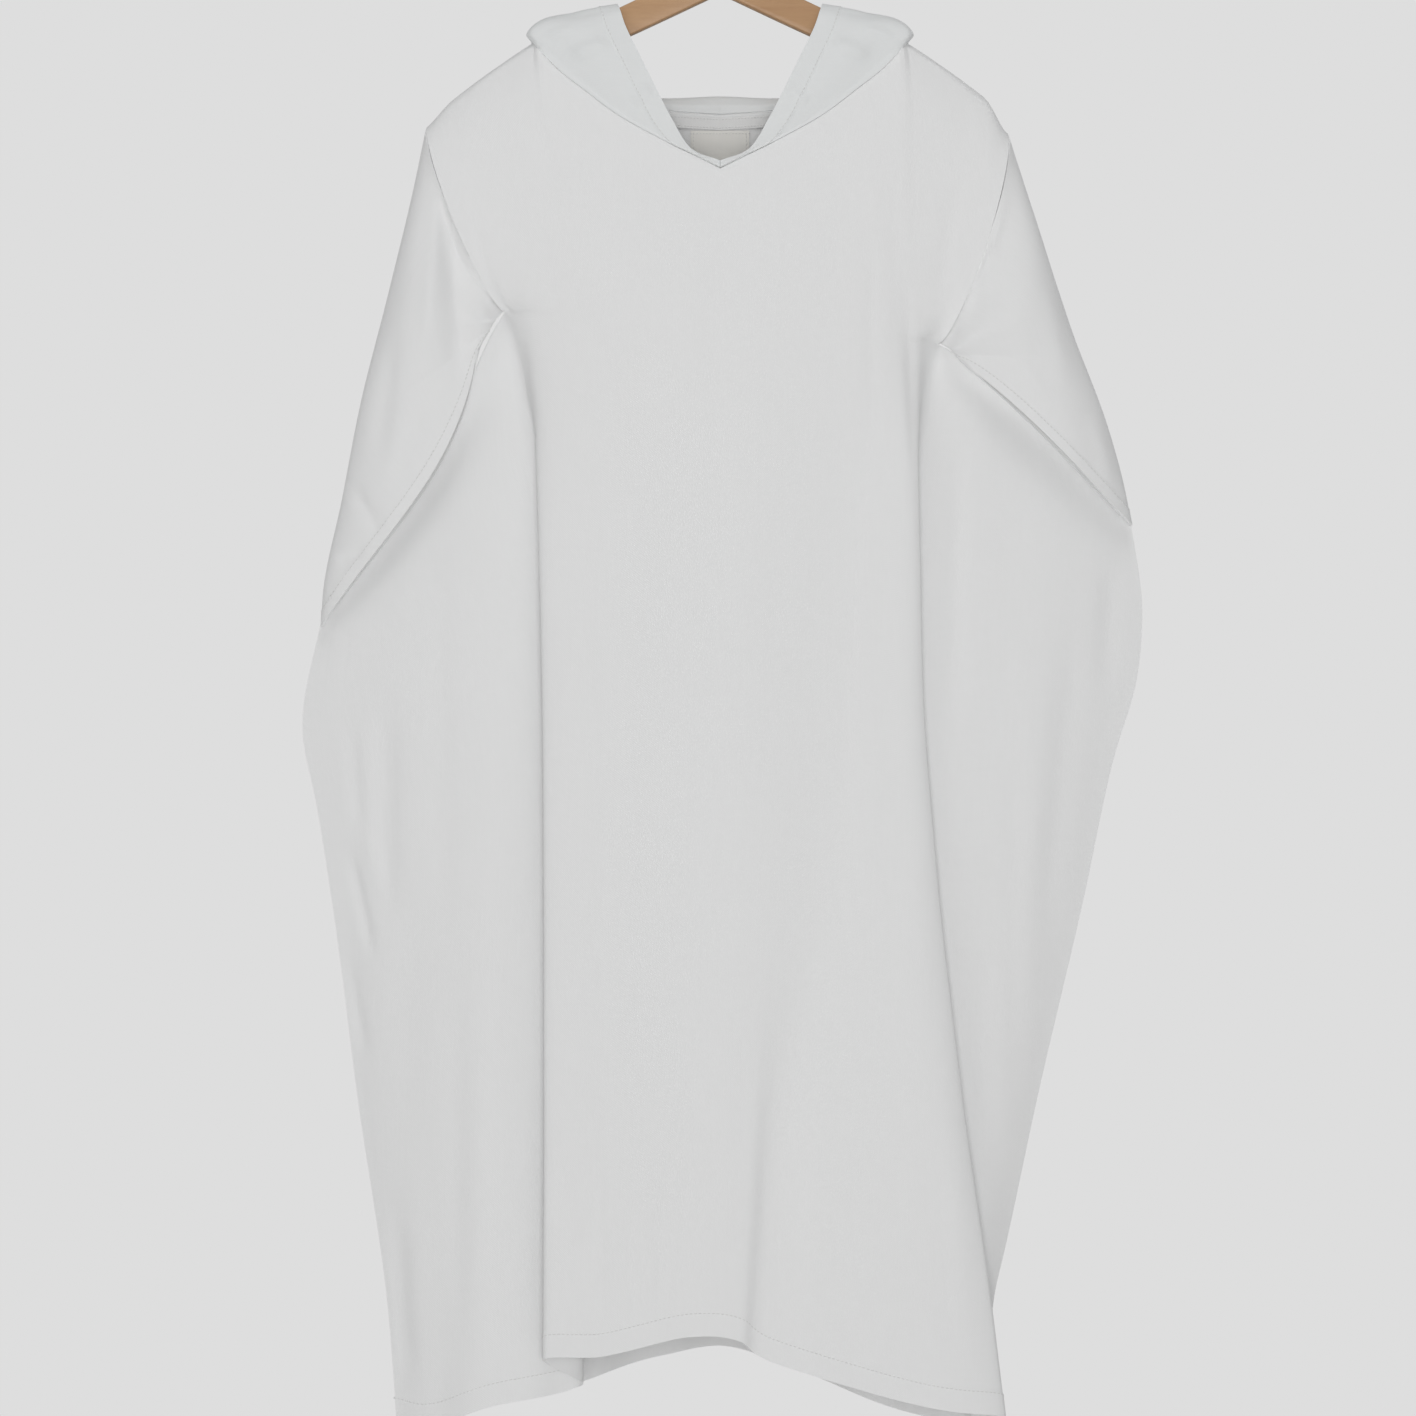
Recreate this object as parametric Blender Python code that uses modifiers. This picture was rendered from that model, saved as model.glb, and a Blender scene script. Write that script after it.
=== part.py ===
"""Hooded surf poncho hanging on a flat wooden hanger.

Metres, +Z up, +X to the wearer's left, -Y to the front.
The origin is the inner top of the hook, where the rail bears.
Every cloth piece is a 2 mm wall along a surface through its own ribs.
"""
import math

import bmesh
import bpy
import numpy as np

# ---- driving dimensions ---------------------------------------------------
WALL = 0.002                # thickness of the cloth
SEAM_GAP = 0.0003           # air between two pieces at a seam
SIDE = WALL / 2 + SEAM_GAP  # half the distance between two layers sewn face to face

WOOD_THICK = 0.010          # hanger, front to back
WOOD_DEPTH = 0.027          # hanger, top edge to lower edge
WOOD_REACH = 0.207          # middle of the hanger to the end of an arm
WOOD_TOP = -0.070           # top edge of the wood at its middle
WOOD_SLOPE = 0.475          # fall of an arm for each metre outwards
WOOD_BEND = 1.80            # extra fall, by the square of the distance past the bend
WOOD_BEND_START = 0.120
WOOD_TAPER = 0.35           # share of the wood's depth lost at the end of an arm
TAPER_POWER = 3             # how late along the arm that is lost
WOOD_POINTS = 37            # points along each edge of the wood
WOOD_EASE = 0.0012          # eased edges of the wood
WIRE = 0.0035               # hook wire
HOOK_RADIUS = 0.021         # middle line of the hook's round
HOOK_STEM = [(0, SEAM_GAP), (0, 0.006), (0.0005, 0.013)]  # above the wood's top edge
HOOK_SWEEP = [(0.006, -0.0255), (0.0135, -0.0181)]        # from the middle of the round
HOOK_TURN = range(-40, 201, 15)                           # degrees round to the open end
CLEAR_OVER = 0.0022         # middle of the cloth beyond the wood's face, above its top edge
CLEAR_BESIDE = 0.0040       # and below its top edge
CLEAR_PAST = 0.010          # how far past the wood's ends that still counts

ARMHOLE_DEPTH = 0.027       # half the armhole, front to back
ARMHOLE_GAP = 0.0022        # sleeve's first ring outside the panels' armhole edge
CUFF_DEPTH = 0.011          # half the sleeve hem, front to back
SLEEVE_FORWARD = 0.024      # how far the sleeve hem hangs in front of the side seam
SLEEVE_ROWS = 8             # rows from the armhole to the hem
SLEEVE_RING = 20            # points round a row
SLEEVE_SWING = 0.45         # share of its length in which the sleeve comes forward
SLEEVE_FLATTEN = 0.6        # share in which the armhole's depth becomes the hem's
SLEEVE_SAG = {"left": 0.018, "right": -0.003}  # how far the hem bows down from a straight line
SAG_SKEW = 1.4              # above 1, the hem bows most near the underarm
TIP_SWING = 0.5             # share of the forward swing at the sleeve's top fold
SWING_WITHIN = 0.5          # share of the way across at which the whole swing is reached

LABEL_WIDTH = 0.048
LABEL_HEIGHT = 0.028
LABEL_THICK = 0.0006
LABEL_ROWS = 4
LABEL_COLUMNS = 5
TAPE_HEIGHT = 0.010
TAPE_THICK = 0.0008
TAPE_REACH = 0.080          # middle of the neck to an end of the tape
TAPE_DROP = 0.0025          # top of the tape below the neck seam
TAPE_COLUMNS = 8
INSIDE = WALL / 2 + SEAM_GAP + 0.0006  # middle of tape and label inside the panel's middle

# ---- seam lines, each a few points (x, y, z) ------------------------------
SIDE_SEAM = {
    "left": [(-0.3225, 0, -0.598), (-0.3390, 0, -0.700), (-0.3285, 0, -0.753), (-0.3154, 0, -0.834),
             (-0.2940, 0, -0.997), (-0.2700, 0, -1.163), (-0.2626, 0, -1.257)],
    "right": [(0.3320, 0, -0.515), (0.3431, 0, -0.603), (0.3390, 0, -0.652), (0.3195, 0, -0.720),
              (0.2959, 0, -0.830), (0.2577, 0, -0.994), (0.2317, 0, -1.115), (0.2225, 0, -1.155),
              (0.2210, 0, -1.262)],
}
SHOULDER_TIP = {"left": (-0.2350, 0, -0.205), "right": (0.2300, 0, -0.210)}
UNDERARM = {"left": (-0.1745, 0, -0.356), "right": (0.1765, 0, -0.382)}
ARMHOLE_BOW = {"left": 0.012, "right": 0.014}
SLEEVE_TOP = {
    "left": [(-0.2350, 0, -0.205), (-0.2480, 0, -0.265), (-0.2675, 0, -0.346), (-0.2886, 0, -0.428),
             (-0.3045, 0, -0.509), (-0.3205, 0, -0.590), (-0.3215, 0, -0.612)],
    "right": [(0.2300, 0, -0.210), (0.2510, 0, -0.275), (0.2821, 0, -0.371), (0.3106, 0, -0.444),
              (0.3262, 0, -0.501), (0.3318, 0, -0.530)],
}
SLEEVE_UNDER = {
    "left": [(-0.1745, 0, -0.3525), (-0.1920, 0, -0.385)],
    "right": [(0.1765, 0, -0.3785), (0.2000, 0, -0.403)],
}

# ---- ribs of the front, column and points from top to hem -----------------
FRONT_RIBS = {
    3: [(-0.262, -SIDE, -0.515), (-0.268, -0.012, -0.62), (-0.262, -0.016, -0.75),
        (-0.250, -0.016, -0.95), (-0.235, -0.016, -1.12), (-0.228, -0.014, -1.258)],
    5: [(-0.222, -SIDE, -0.452), (-0.205, -0.018, -0.55), (-0.190, -0.027, -0.70),
        (-0.189, -0.030, -0.90), (-0.187, -0.030, -1.10), (-0.186, -0.028, -1.241)],
    7: [(-0.1745, -SIDE, -0.356), (-0.160, -0.010, -0.43), (-0.138, -0.016, -0.52),
        (-0.123, -0.018, -0.65), (-0.119, -0.019, -0.90), (-0.119, -0.018, -1.228)],
    8: [(-0.164, -0.012, -0.357), (-0.154, -0.018, -0.43), (-0.135, -0.024, -0.52),
        (-0.118, -0.026, -0.65), (-0.113, -0.028, -0.90), (-0.113, -0.028, -1.220)],
    9: [(-0.150, -0.022, -0.358), (-0.1485, -0.031, -0.43), (-0.146, -0.037, -0.52),
        (-0.142, -0.040, -0.65), (-0.140, -0.042, -0.90), (-0.140, -0.044, -1.202)],
    11: [(-0.105, -0.036, -0.362), (-0.105, -0.043, -0.43), (-0.102, -0.048, -0.52),
         (-0.098, -0.052, -0.90), (-0.096, -0.053, -1.196)],
    14: [(-0.030, -0.042, -0.366), (-0.030, -0.047, -0.52), (-0.028, -0.050, -0.75),
         (-0.025, -0.052, -1.00), (-0.022, -0.053, -1.180)],
    16: [(0.030, -0.042, -0.370), (0.032, -0.047, -0.52), (0.030, -0.050, -0.75),
         (0.022, -0.053, -1.00), (0.014, -0.054, -1.183)],
    18: [(0.112, -0.034, -0.374), (0.1165, -0.037, -0.464), (0.112, -0.039, -0.58),
         (0.1065, -0.040, -0.772), (0.090, -0.041, -0.891), (0.077, -0.041, -0.96),
         (0.068, -0.041, -1.04), (0.058, -0.042, -1.208)],
    19: [(0.132, -0.034, -0.377), (0.137, -0.041, -0.47), (0.135, -0.046, -0.60),
         (0.137, -0.049, -0.78), (0.138, -0.051, -0.95), (0.145, -0.050, -1.232)],
    21: [(0.157, -0.020, -0.380), (0.158, -0.036, -0.45), (0.1595, -0.040, -0.54),
         (0.1635, -0.042, -0.695), (0.172, -0.043, -0.80), (0.189, -0.043, -0.962),
         (0.2154, -0.042, -1.1545), (0.2262, -0.041, -1.246)],
    23: [(0.1765, -SIDE, -0.382), (0.166, -0.014, -0.45), (0.155, -0.022, -0.54),
         (0.154, -0.025, -0.695), (0.160, -0.025, -0.80), (0.176, -0.024, -0.962),
         (0.198, -0.021, -1.1545), (0.204, -0.019, -1.258)],
    25: [(0.222, -SIDE, -0.411), (0.207, -0.014, -0.52), (0.200, -0.020, -0.695),
         (0.202, -0.020, -0.80), (0.205, -0.018, -0.962), (0.209, -0.014, -1.1545),
         (0.212, -0.012, -1.262)],
    27: [(0.281, -SIDE, -0.459), (0.274, -0.012, -0.56), (0.258, -0.016, -0.695),
         (0.245, -0.016, -0.83), (0.228, -0.014, -0.99), (0.216, -0.009, -1.1545),
         (0.217, -0.007, -1.262)],
}
# ---- ribs of the back -----------------------------------------------------
BACK_RIBS = {
    3: [(-0.262, SIDE, -0.515), (-0.270, 0.013, -0.62), (-0.262, 0.018, -0.75),
        (-0.250, 0.020, -0.95), (-0.235, 0.020, -1.12), (-0.228, 0.018, -1.258)],
    5: [(-0.222, SIDE, -0.452), (-0.215, 0.020, -0.55), (-0.205, 0.028, -0.70),
        (-0.205, 0.032, -0.90), (-0.200, 0.034, -1.10), (-0.198, 0.034, -1.250)],
    7: [(-0.1745, SIDE, -0.356), (-0.165, 0.022, -0.43), (-0.160, 0.030, -0.55),
        (-0.158, 0.034, -0.75), (-0.155, 0.036, -1.00), (-0.154, 0.036, -1.244)],
    10: [(-0.105, 0.034, -0.362), (-0.110, 0.046, -0.50), (-0.112, 0.050, -0.75),
         (-0.112, 0.054, -1.00), (-0.110, 0.056, -1.234)],
    13: [(-0.040, 0.038, -0.366), (-0.045, 0.042, -0.52), (-0.050, 0.042, -0.75),
         (-0.052, 0.041, -1.00), (-0.052, 0.040, -1.212)],
    15: [(0.003, 0.040, -0.369), (0.003, 0.046, -0.52), (0.003, 0.051, -0.75),
         (0.004, 0.055, -1.00), (0.004, 0.057, -1.206)],
    17: [(0.045, 0.038, -0.372), (0.050, 0.042, -0.52), (0.055, 0.043, -0.75),
         (0.060, 0.042, -1.00), (0.062, 0.041, -1.222)],
    20: [(0.110, 0.034, -0.377), (0.115, 0.046, -0.50), (0.120, 0.050, -0.75),
         (0.126, 0.052, -1.00), (0.130, 0.052, -1.252)],
    23: [(0.1765, SIDE, -0.382), (0.170, 0.022, -0.45), (0.168, 0.030, -0.56),
         (0.170, 0.032, -0.75), (0.176, 0.030, -0.98), (0.182, 0.028, -1.262)],
    25: [(0.222, SIDE, -0.411), (0.215, 0.020, -0.52), (0.208, 0.028, -0.695),
         (0.205, 0.028, -0.85), (0.203, 0.024, -1.05), (0.202, 0.020, -1.266)],
    27: [(0.281, SIDE, -0.459), (0.276, 0.013, -0.56), (0.262, 0.017, -0.695),
         (0.247, 0.016, -0.83), (0.229, 0.014, -0.99), (0.214, 0.012, -1.1545),
         (0.212, 0.012, -1.266)],
}
COLUMNS = 29                # columns of a panel, side seam to side seam
BODY_COLUMNS = (7, 23)      # those that reach the shoulders
SHOULDER_STEPS = (0.22, 0.60)  # columns between shoulder tip and neck, as shares of the seam
NECK_STEPS = (0.075, 0.29, 0.53, 0.77, 1)  # columns from the neck point to the V or nape
SHOULDER_LIFT = 0.005       # shoulder seam above the wood
RIDGE_GAP = 0.0007          # half the gap between front and back along the shoulder seam
LOW_ROWS = 15               # rows from the underarm to the hem
HIGH_ROWS = (0, 0.012, 0.09, 0.20, 0.34, 0.50, 0.67, 0.84, 1)  # from shoulder to underarm, as shares
EDGE_FADE = 5               # how soon an armhole's fullness dies away into the panel

# ---- neck seam of the left half, from the shoulder to the middle ----------
NECK_FRONT = [(-0.1500, -0.0006, -0.1370), (-0.1472, -0.0100, -0.1432), (-0.1360, -0.0140, -0.1570),
              (-0.1110, -0.0190, -0.1780), (-0.0837, -0.0230, -0.1990), (-0.0465, -0.0280, -0.2205),
              (0.0, -0.0310, -0.2440)]
NECK_BACK = [(-0.1500, 0.0006, -0.1370), (-0.1472, 0.0100, -0.1432), (-0.1300, 0.0140, -0.1590),
             (-0.0960, 0.0180, -0.1770), (-0.0500, 0.0210, -0.1880), (0.0, 0.0220, -0.1920)]

# ---- the hood beyond the neck seam, from the front V round to the nape ----
# each rib runs from near the neck seam to the edge of the hood's mouth; behind the
# hanger its points are seam, rise, crest, over, down, down, bottom, up, up, mouth
MIDDLE_GAP = 0.0004         # edge of a hood half beside the middle plane
HOOD_RIBS = [
    [(MIDDLE_GAP, -0.0315, -0.2415), (MIDDLE_GAP, -0.0312, -0.2370)],
    [(0.0250, -0.0305, -0.2320), (0.0236, -0.0300, -0.2270)],
    [(0.0470, -0.0290, -0.2190), (0.0440, -0.0305, -0.2110), (0.0395, -0.0290, -0.2020)],
    [(0.0830, -0.0245, -0.1970), (0.0700, -0.0275, -0.1870), (0.0520, -0.0250, -0.1770)],
    [(0.1100, -0.0205, -0.1760), (0.0910, -0.0250, -0.1630), (0.0650, -0.0200, -0.1500)],
    [(0.1360, -0.0160, -0.1540), (0.1110, -0.0210, -0.1360), (0.0760, -0.0150, -0.1270)],
    [(0.1475, -0.0110, -0.1405), (0.1503, -0.0132, -0.1338), (0.1535, -0.0140, -0.1270),
     (0.1430, -0.0135, -0.1215), (0.1150, -0.0125, -0.1170), (0.0810, -0.0105, -0.1120)],
    [(0.1483, 0.0000, -0.1320), (0.1530, 0.0000, -0.1285), (0.1560, 0.0000, -0.1245),
     (0.1480, 0.0010, -0.1190), (0.1200, 0.0020, -0.1120), (0.0840, 0.0020, -0.1050)],
    [(0.1475, 0.0110, -0.1405), (0.1500, 0.0130, -0.1340), (0.1540, 0.0190, -0.1275),
     (0.1555, 0.0300, -0.1255), (0.1540, 0.0420, -0.1280), (0.1500, 0.0500, -0.1300),
     (0.1410, 0.0560, -0.1320), (0.1270, 0.0520, -0.1280), (0.1100, 0.0410, -0.1200),
     (0.0880, 0.0250, -0.1100)],
    [(0.1400, 0.0130, -0.1510), (0.1430, 0.0160, -0.1400), (0.1460, 0.0250, -0.1330),
     (0.1480, 0.0360, -0.1350), (0.1510, 0.0490, -0.1500), (0.1510, 0.0600, -0.1740),
     (0.1420, 0.0710, -0.1850), (0.1310, 0.0780, -0.1680), (0.1140, 0.0660, -0.1390),
     (0.0930, 0.0440, -0.1190)],
    [(0.1280, 0.0145, -0.1600), (0.1300, 0.0180, -0.1480), (0.1330, 0.0280, -0.1390),
     (0.1370, 0.0400, -0.1450), (0.1400, 0.0530, -0.1850), (0.1420, 0.0640, -0.2350),
     (0.1360, 0.0770, -0.2520), (0.1300, 0.0880, -0.2250), (0.1160, 0.0820, -0.1700),
     (0.0960, 0.0590, -0.1280)],
    [(0.0700, 0.0205, -0.1820), (0.0710, 0.0240, -0.1775), (0.0730, 0.0360, -0.1735),
     (0.0790, 0.0560, -0.1850), (0.0860, 0.0640, -0.2600), (0.0850, 0.0680, -0.3400),
     (0.0810, 0.0800, -0.3640), (0.0850, 0.0960, -0.3300), (0.0880, 0.0990, -0.2500),
     (0.0720, 0.0880, -0.1720)],
    [(MIDDLE_GAP, 0.0225, -0.1890), (MIDDLE_GAP, 0.0260, -0.1815), (MIDDLE_GAP, 0.0370, -0.1750),
     (MIDDLE_GAP, 0.0590, -0.1930), (MIDDLE_GAP, 0.0650, -0.2900), (MIDDLE_GAP, 0.0700, -0.3850),
     (MIDDLE_GAP, 0.0820, -0.4080), (MIDDLE_GAP, 0.0970, -0.3700), (MIDDLE_GAP, 0.1010, -0.2800),
     (MIDDLE_GAP, 0.0930, -0.1980)],
]
HOOD_AROUND = 24            # columns from the V to the nape
HOOD_ROWS = (0, 0.5, 1, 1.5, 2, 2.5, 3, 4, 5, 5.5, 6, 6.5, 7, 8, 9)  # places between a rib's points
HOOD_LIFT = 0.0032          # first row of the hood above the neck seam
SEAM_STEPS = 120            # steps along each neck seam in which the nearest point is found

# ---- surface helpers ------------------------------------------------------


def blend(at, knots, values):
    """Smooth cubic through the values at the knots, read at the given places."""
    knots = np.asarray(knots, float)
    values = np.asarray(values, float)
    at = np.clip(at, knots[0], knots[-1])
    slopes = np.gradient(values, knots, axis=0)
    left = np.clip(np.searchsorted(knots, at, side="right") - 1, 0, len(knots) - 2)
    step = (knots[left + 1] - knots[left])[:, None]
    t = (at - knots[left])[:, None] / step
    start = values[left] * (1 + 2 * t) * (1 - t) ** 2 + values[left + 1] * t * t * (3 - 2 * t)
    return start + step * (slopes[left] * t * (1 - t) ** 2 + slopes[left + 1] * t * t * (t - 1))


def along(points, shares):
    """Points on a smooth curve through a few points, at shares of its length."""
    points = np.asarray(points, float)
    lengths = np.linalg.norm(np.diff(points, axis=0), axis=1)
    travelled = np.concatenate([[0], np.cumsum(lengths)])
    return blend(np.asarray(shares) * travelled[-1], travelled, points)


def even(count):
    """Shares of a curve cut into equal steps."""
    return np.linspace(0, 1, count + 1)


def coons(top, bottom, left, right):
    """Rows of a patch filled between four edges; left and right run from top to bottom."""
    u = np.linspace(0, 1, len(top))[None, :, None]
    v = np.array(HIGH_ROWS)[:, None, None]
    ruled = (1 - v) * top[None] + v * bottom[None] + (1 - u) * left[:, None] + u * right[:, None]
    corners = (1 - u) * (1 - v) * top[0] + u * (1 - v) * top[-1]
    corners = corners + (1 - u) * v * bottom[0] + u * v * bottom[-1]
    rows = ruled - corners
    near_left = (1 - u[:, :, 0]) ** EDGE_FADE
    near_right = u[:, :, 0] ** EDGE_FADE
    straight = (1 - v[:, :, 0]) * top[None, :, 1] + v[:, :, 0] * bottom[None, :, 1]
    left_lift = left[:, None, 1] - straight[:, :1]
    right_lift = right[:, None, 1] - straight[:, -1:]
    rows[:, :, 1] = straight + near_left * left_lift + near_right * right_lift
    return rows


def armhole(side, face):
    """Front (-1) or back (1) edge of the armhole from shoulder tip to underarm."""
    tip = np.array(SHOULDER_TIP[side])
    under = np.array(UNDERARM[side])
    t = np.array(HIGH_ROWS)
    outwards = -1 if side == "left" else 1
    edge = tip + (under - tip) * t[:, None]
    opened = 2 * np.sqrt(t * (1 - t))
    edge[:, 0] += outwards * ARMHOLE_BOW[side] * opened
    edge[:, 1] += face * (ARMHOLE_DEPTH * opened + SIDE)
    return edge


def lower_rows(ribs, face):
    """Rows of a panel from the underarm down, through its ribs and both side seams."""
    curves = {0: [(x, y + face * SIDE, z) for x, y, z in SIDE_SEAM["left"]], **ribs,
              COLUMNS: [(x, y + face * SIDE, z) for x, y, z in SIDE_SEAM["right"]]}
    places = sorted(curves)
    rails = [along(curves[place], even(LOW_ROWS)) for place in places]
    columns = np.arange(COLUMNS + 1)
    rows = [blend(columns, places, [rail[row] for rail in rails]) for row in range(LOW_ROWS + 1)]
    return keep_apart(np.array(rows), face)


def keep_apart(rows, face):
    """Hold a panel's points on its own side of the garment's middle plane."""
    rows[:, :, 1] = face * np.maximum(face * rows[:, :, 1], SIDE)
    return rows


def mirrored(points):
    """The same points on the other side of the garment."""
    return np.asarray(points, float) * (-1, 1, 1)


def top_edge(neck, face):
    """Shoulder tip, shoulder seam, neck seam and the other shoulder, one point a column."""
    edge = []
    for side, seam in (("left", np.array(neck)), ("right", mirrored(neck))):
        tip = np.array(SHOULDER_TIP[side])
        shoulder = [tip + (0, face * SIDE, 0)]
        for share in SHOULDER_STEPS:
            x = tip[0] + (seam[0][0] - tip[0]) * share
            shoulder.append(np.array([x, face * RIDGE_GAP, wood_top(x) + SHOULDER_LIFT]))
        shoulder.append(seam[0])
        edge.append(np.concatenate([shoulder, along(seam, NECK_STEPS)]))
    return np.concatenate([edge[0], edge[1][::-1][1:]])


def wood_top(x):
    """Height of the hanger's top edge at a distance from its middle."""
    past = max(0.0, abs(x) - WOOD_BEND_START)
    return WOOD_TOP - WOOD_SLOPE * abs(x) - WOOD_BEND * past * past


# ---- objects --------------------------------------------------------------


def material(name, colour, roughness, metallic=0.0):
    """Principled material of one plain colour."""
    made = bpy.data.materials.new(name)
    made.use_nodes = True
    shader = made.node_tree.nodes["Principled BSDF"]
    shader.inputs["Base Color"].default_value = (*colour, 1.0)
    shader.inputs["Roughness"].default_value = roughness
    shader.inputs["Metallic"].default_value = metallic
    return made


def add(name, mesh, finish):
    """Put a mesh in the poncho's collection under its own name and material."""
    made = bpy.data.objects.new(name, mesh)
    bpy.data.collections["surf_poncho"].objects.link(made)
    mesh.materials.append(finish)
    return made


def cloth(name, patches, finish, thick=WALL):
    """One wall over one or more grids of points that share their edge points."""
    shell = bmesh.new()
    for patch in patches:
        grid = [[shell.verts.new(point) for point in row] for row in patch]
        for upper, lower in zip(grid, grid[1:]):
            for i in range(len(upper) - 1):
                shell.faces.new((upper[i], lower[i], lower[i + 1], upper[i + 1]))
    bmesh.ops.remove_doubles(shell, verts=shell.verts, dist=1e-5)
    mesh = bpy.data.meshes.new(name)
    shell.to_mesh(mesh)
    shell.free()
    mesh.shade_smooth()
    made = add(name, mesh, finish)
    wall = made.modifiers.new("wall", "SOLIDIFY")
    wall.thickness = thick
    wall.offset = 0
    return made


def panel(name, ribs, neck, face, finish):
    """Front or back panel; returns its upper rows, where the neck tape and label lie."""
    low = lower_rows(ribs, face)
    first, last = BODY_COLUMNS
    top = top_edge(neck, face)
    left = armhole("left", face)
    right = armhole("right", face)
    bottom = low[0][first:last + 1]
    left[-1] = bottom[0]
    right[-1] = bottom[-1]
    left[0] = top[0]
    right[0] = top[-1]
    high = keep_apart(coons(top, bottom, left, right), face)
    high[0] = top
    clear_wood(high, face)
    cloth(name, [high, low], finish)
    return high


def clear_wood(rows, face):
    """Carry the cloth over the wood's top edge and down in front of or behind it."""
    for row in rows[1:-1]:
        for point in row[1:-1]:
            over = point[2] - wood_top(point[0])
            if -WOOD_DEPTH < over < SHOULDER_LIFT and abs(point[0]) < WOOD_REACH + CLEAR_PAST:
                clear = WOOD_THICK / 2 + (CLEAR_OVER if over > 0 else CLEAR_BESIDE)
                point[1] = face * max(abs(point[1]), clear)


def sleeve(name, side, finish):
    """Short wide tube from the armhole to the hem, hanging in front of the side."""
    outwards = -1 if side == "left" else 1
    tops = along(SLEEVE_TOP[side], even(SLEEVE_ROWS))
    unders = along(SLEEVE_UNDER[side], even(SLEEVE_ROWS))
    grid = []
    for t, top, under in zip(even(SLEEVE_ROWS), tops, unders):
        forward = -SLEEVE_FORWARD * math.sin(min(1.0, t / SLEEVE_SWING) * math.pi / 2) ** 2
        depth = ARMHOLE_DEPTH + (CUFF_DEPTH - ARMHOLE_DEPTH) * min(1.0, t / SLEEVE_FLATTEN)
        bow = ARMHOLE_BOW[side] * (1 - t)
        across = (under - top) / np.linalg.norm(under - top)
        below = np.array([-outwards * across[2], 0, outwards * across[0]])
        points = []
        for angle in even(SLEEVE_RING) * 2 * math.pi:
            share = (1 - math.cos(angle)) / 2
            point = top + (under - top) * share
            point += below * SLEEVE_SAG[side] * t * t * math.sin(math.pi * share ** SAG_SKEW)
            point[0] += outwards * (bow * abs(math.sin(angle)) + ARMHOLE_GAP)
            swing = TIP_SWING + (1 - TIP_SWING) * math.sin(min(1.0, share / SWING_WITHIN) * math.pi / 2)
            point[1] += forward * swing + outwards * depth * math.sin(angle)
            points.append(point)
        points[-1] = points[0]
        grid.append(points)
    cloth(name, [grid], finish)


def hood_half(name, side, finish):
    """Half of the fallen hood: its front band, over the hanger, and the pouch behind."""
    stations = np.arange(len(HOOD_RIBS[-1]))
    rails = []
    for rib in HOOD_RIBS:
        points = rib if len(rib) == len(stations) else along(rib, even(len(stations) - 1))
        rails.append(blend(np.array(HOOD_ROWS), stations, points))
    rails = np.array(rails)
    places = np.arange(len(rails))
    around = even(HOOD_AROUND) * places[-1]
    grid = np.array([blend(around, places, rails[:, row]) for row in range(len(HOOD_ROWS))])
    front_seam = along(NECK_FRONT, even(SEAM_STEPS))
    back_seam = along(NECK_BACK, even(SEAM_STEPS))
    seam = mirrored(np.concatenate([front_seam, back_seam]))
    for column in range(HOOD_AROUND + 1):
        start = grid[0, column].copy()
        rise = grid[2, column] - start
        nearest = seam[np.argmin(np.linalg.norm(seam - start, axis=1))]
        shift = nearest + rise / np.linalg.norm(rise) * HOOD_LIFT - start
        grid[:, column] += shift * (1 - np.array(HOOD_ROWS)[:, None] / stations[-1])
    grid[:, :, 0] = np.maximum(grid[:, :, 0], MIDDLE_GAP)
    if side == "left":
        grid = mirrored(grid)
    cloth(name, [grid], finish)


def curve_object(name, curve, points, closed, finish):
    """Put a curve of straight steps through flat points in the poncho's collection."""
    line = curve.splines.new("POLY")
    line.points.add(len(points) - 1)
    for point, (x, z) in zip(line.points, points):
        point.co = (x, z, 0, 1)
    line.use_cyclic_u = closed
    curve.materials.append(finish)
    made = bpy.data.objects.new(name, curve)
    made.rotation_euler = (math.pi / 2, 0, 0)
    bpy.data.collections["surf_poncho"].objects.link(made)
    return made


def hanger_wood(finish):
    """Both arms as one flat outline, with its thickness and eased edges."""
    xs = np.linspace(-WOOD_REACH, WOOD_REACH, WOOD_POINTS)
    outline = [(x, wood_top(x)) for x in xs]
    for x in xs[::-1]:
        depth = WOOD_DEPTH * (1 - WOOD_TAPER * (abs(x) / WOOD_REACH) ** TAPER_POWER)
        outline.append((x, wood_top(x) - depth))
    curve = bpy.data.curves.new("hanger_wood", "CURVE")
    curve.dimensions = "2D"
    curve.fill_mode = "BOTH"
    curve.extrude = WOOD_THICK / 2
    made = curve_object("hanger_wood", curve, outline, True, finish)
    weld = made.modifiers.new("weld", "WELD")
    weld.merge_threshold = 0.0001
    ease = made.modifiers.new("eased edges", "BEVEL")
    ease.width = WOOD_EASE
    ease.segments = 1
    ease.limit_method = "ANGLE"
    ease.angle_limit = math.radians(50)


def hanger_hook(finish):
    """Round hook whose inner top is the origin, on a stem that stands on the wood."""
    middle = -(HOOK_RADIUS - WIRE / 2)
    route = [(x, WOOD_TOP + z) for x, z in HOOK_STEM]
    route += [(x, middle + z) for x, z in HOOK_SWEEP]
    for angle in np.radians(HOOK_TURN):
        route.append((HOOK_RADIUS * math.cos(angle), middle + HOOK_RADIUS * math.sin(angle)))
    curve = bpy.data.curves.new("hanger_hook", "CURVE")
    curve.dimensions = "3D"
    curve.bevel_depth = WIRE / 2
    curve.bevel_resolution = 2
    curve.use_fill_caps = True
    curve_object("hanger_hook", curve, route, False, finish)


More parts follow.
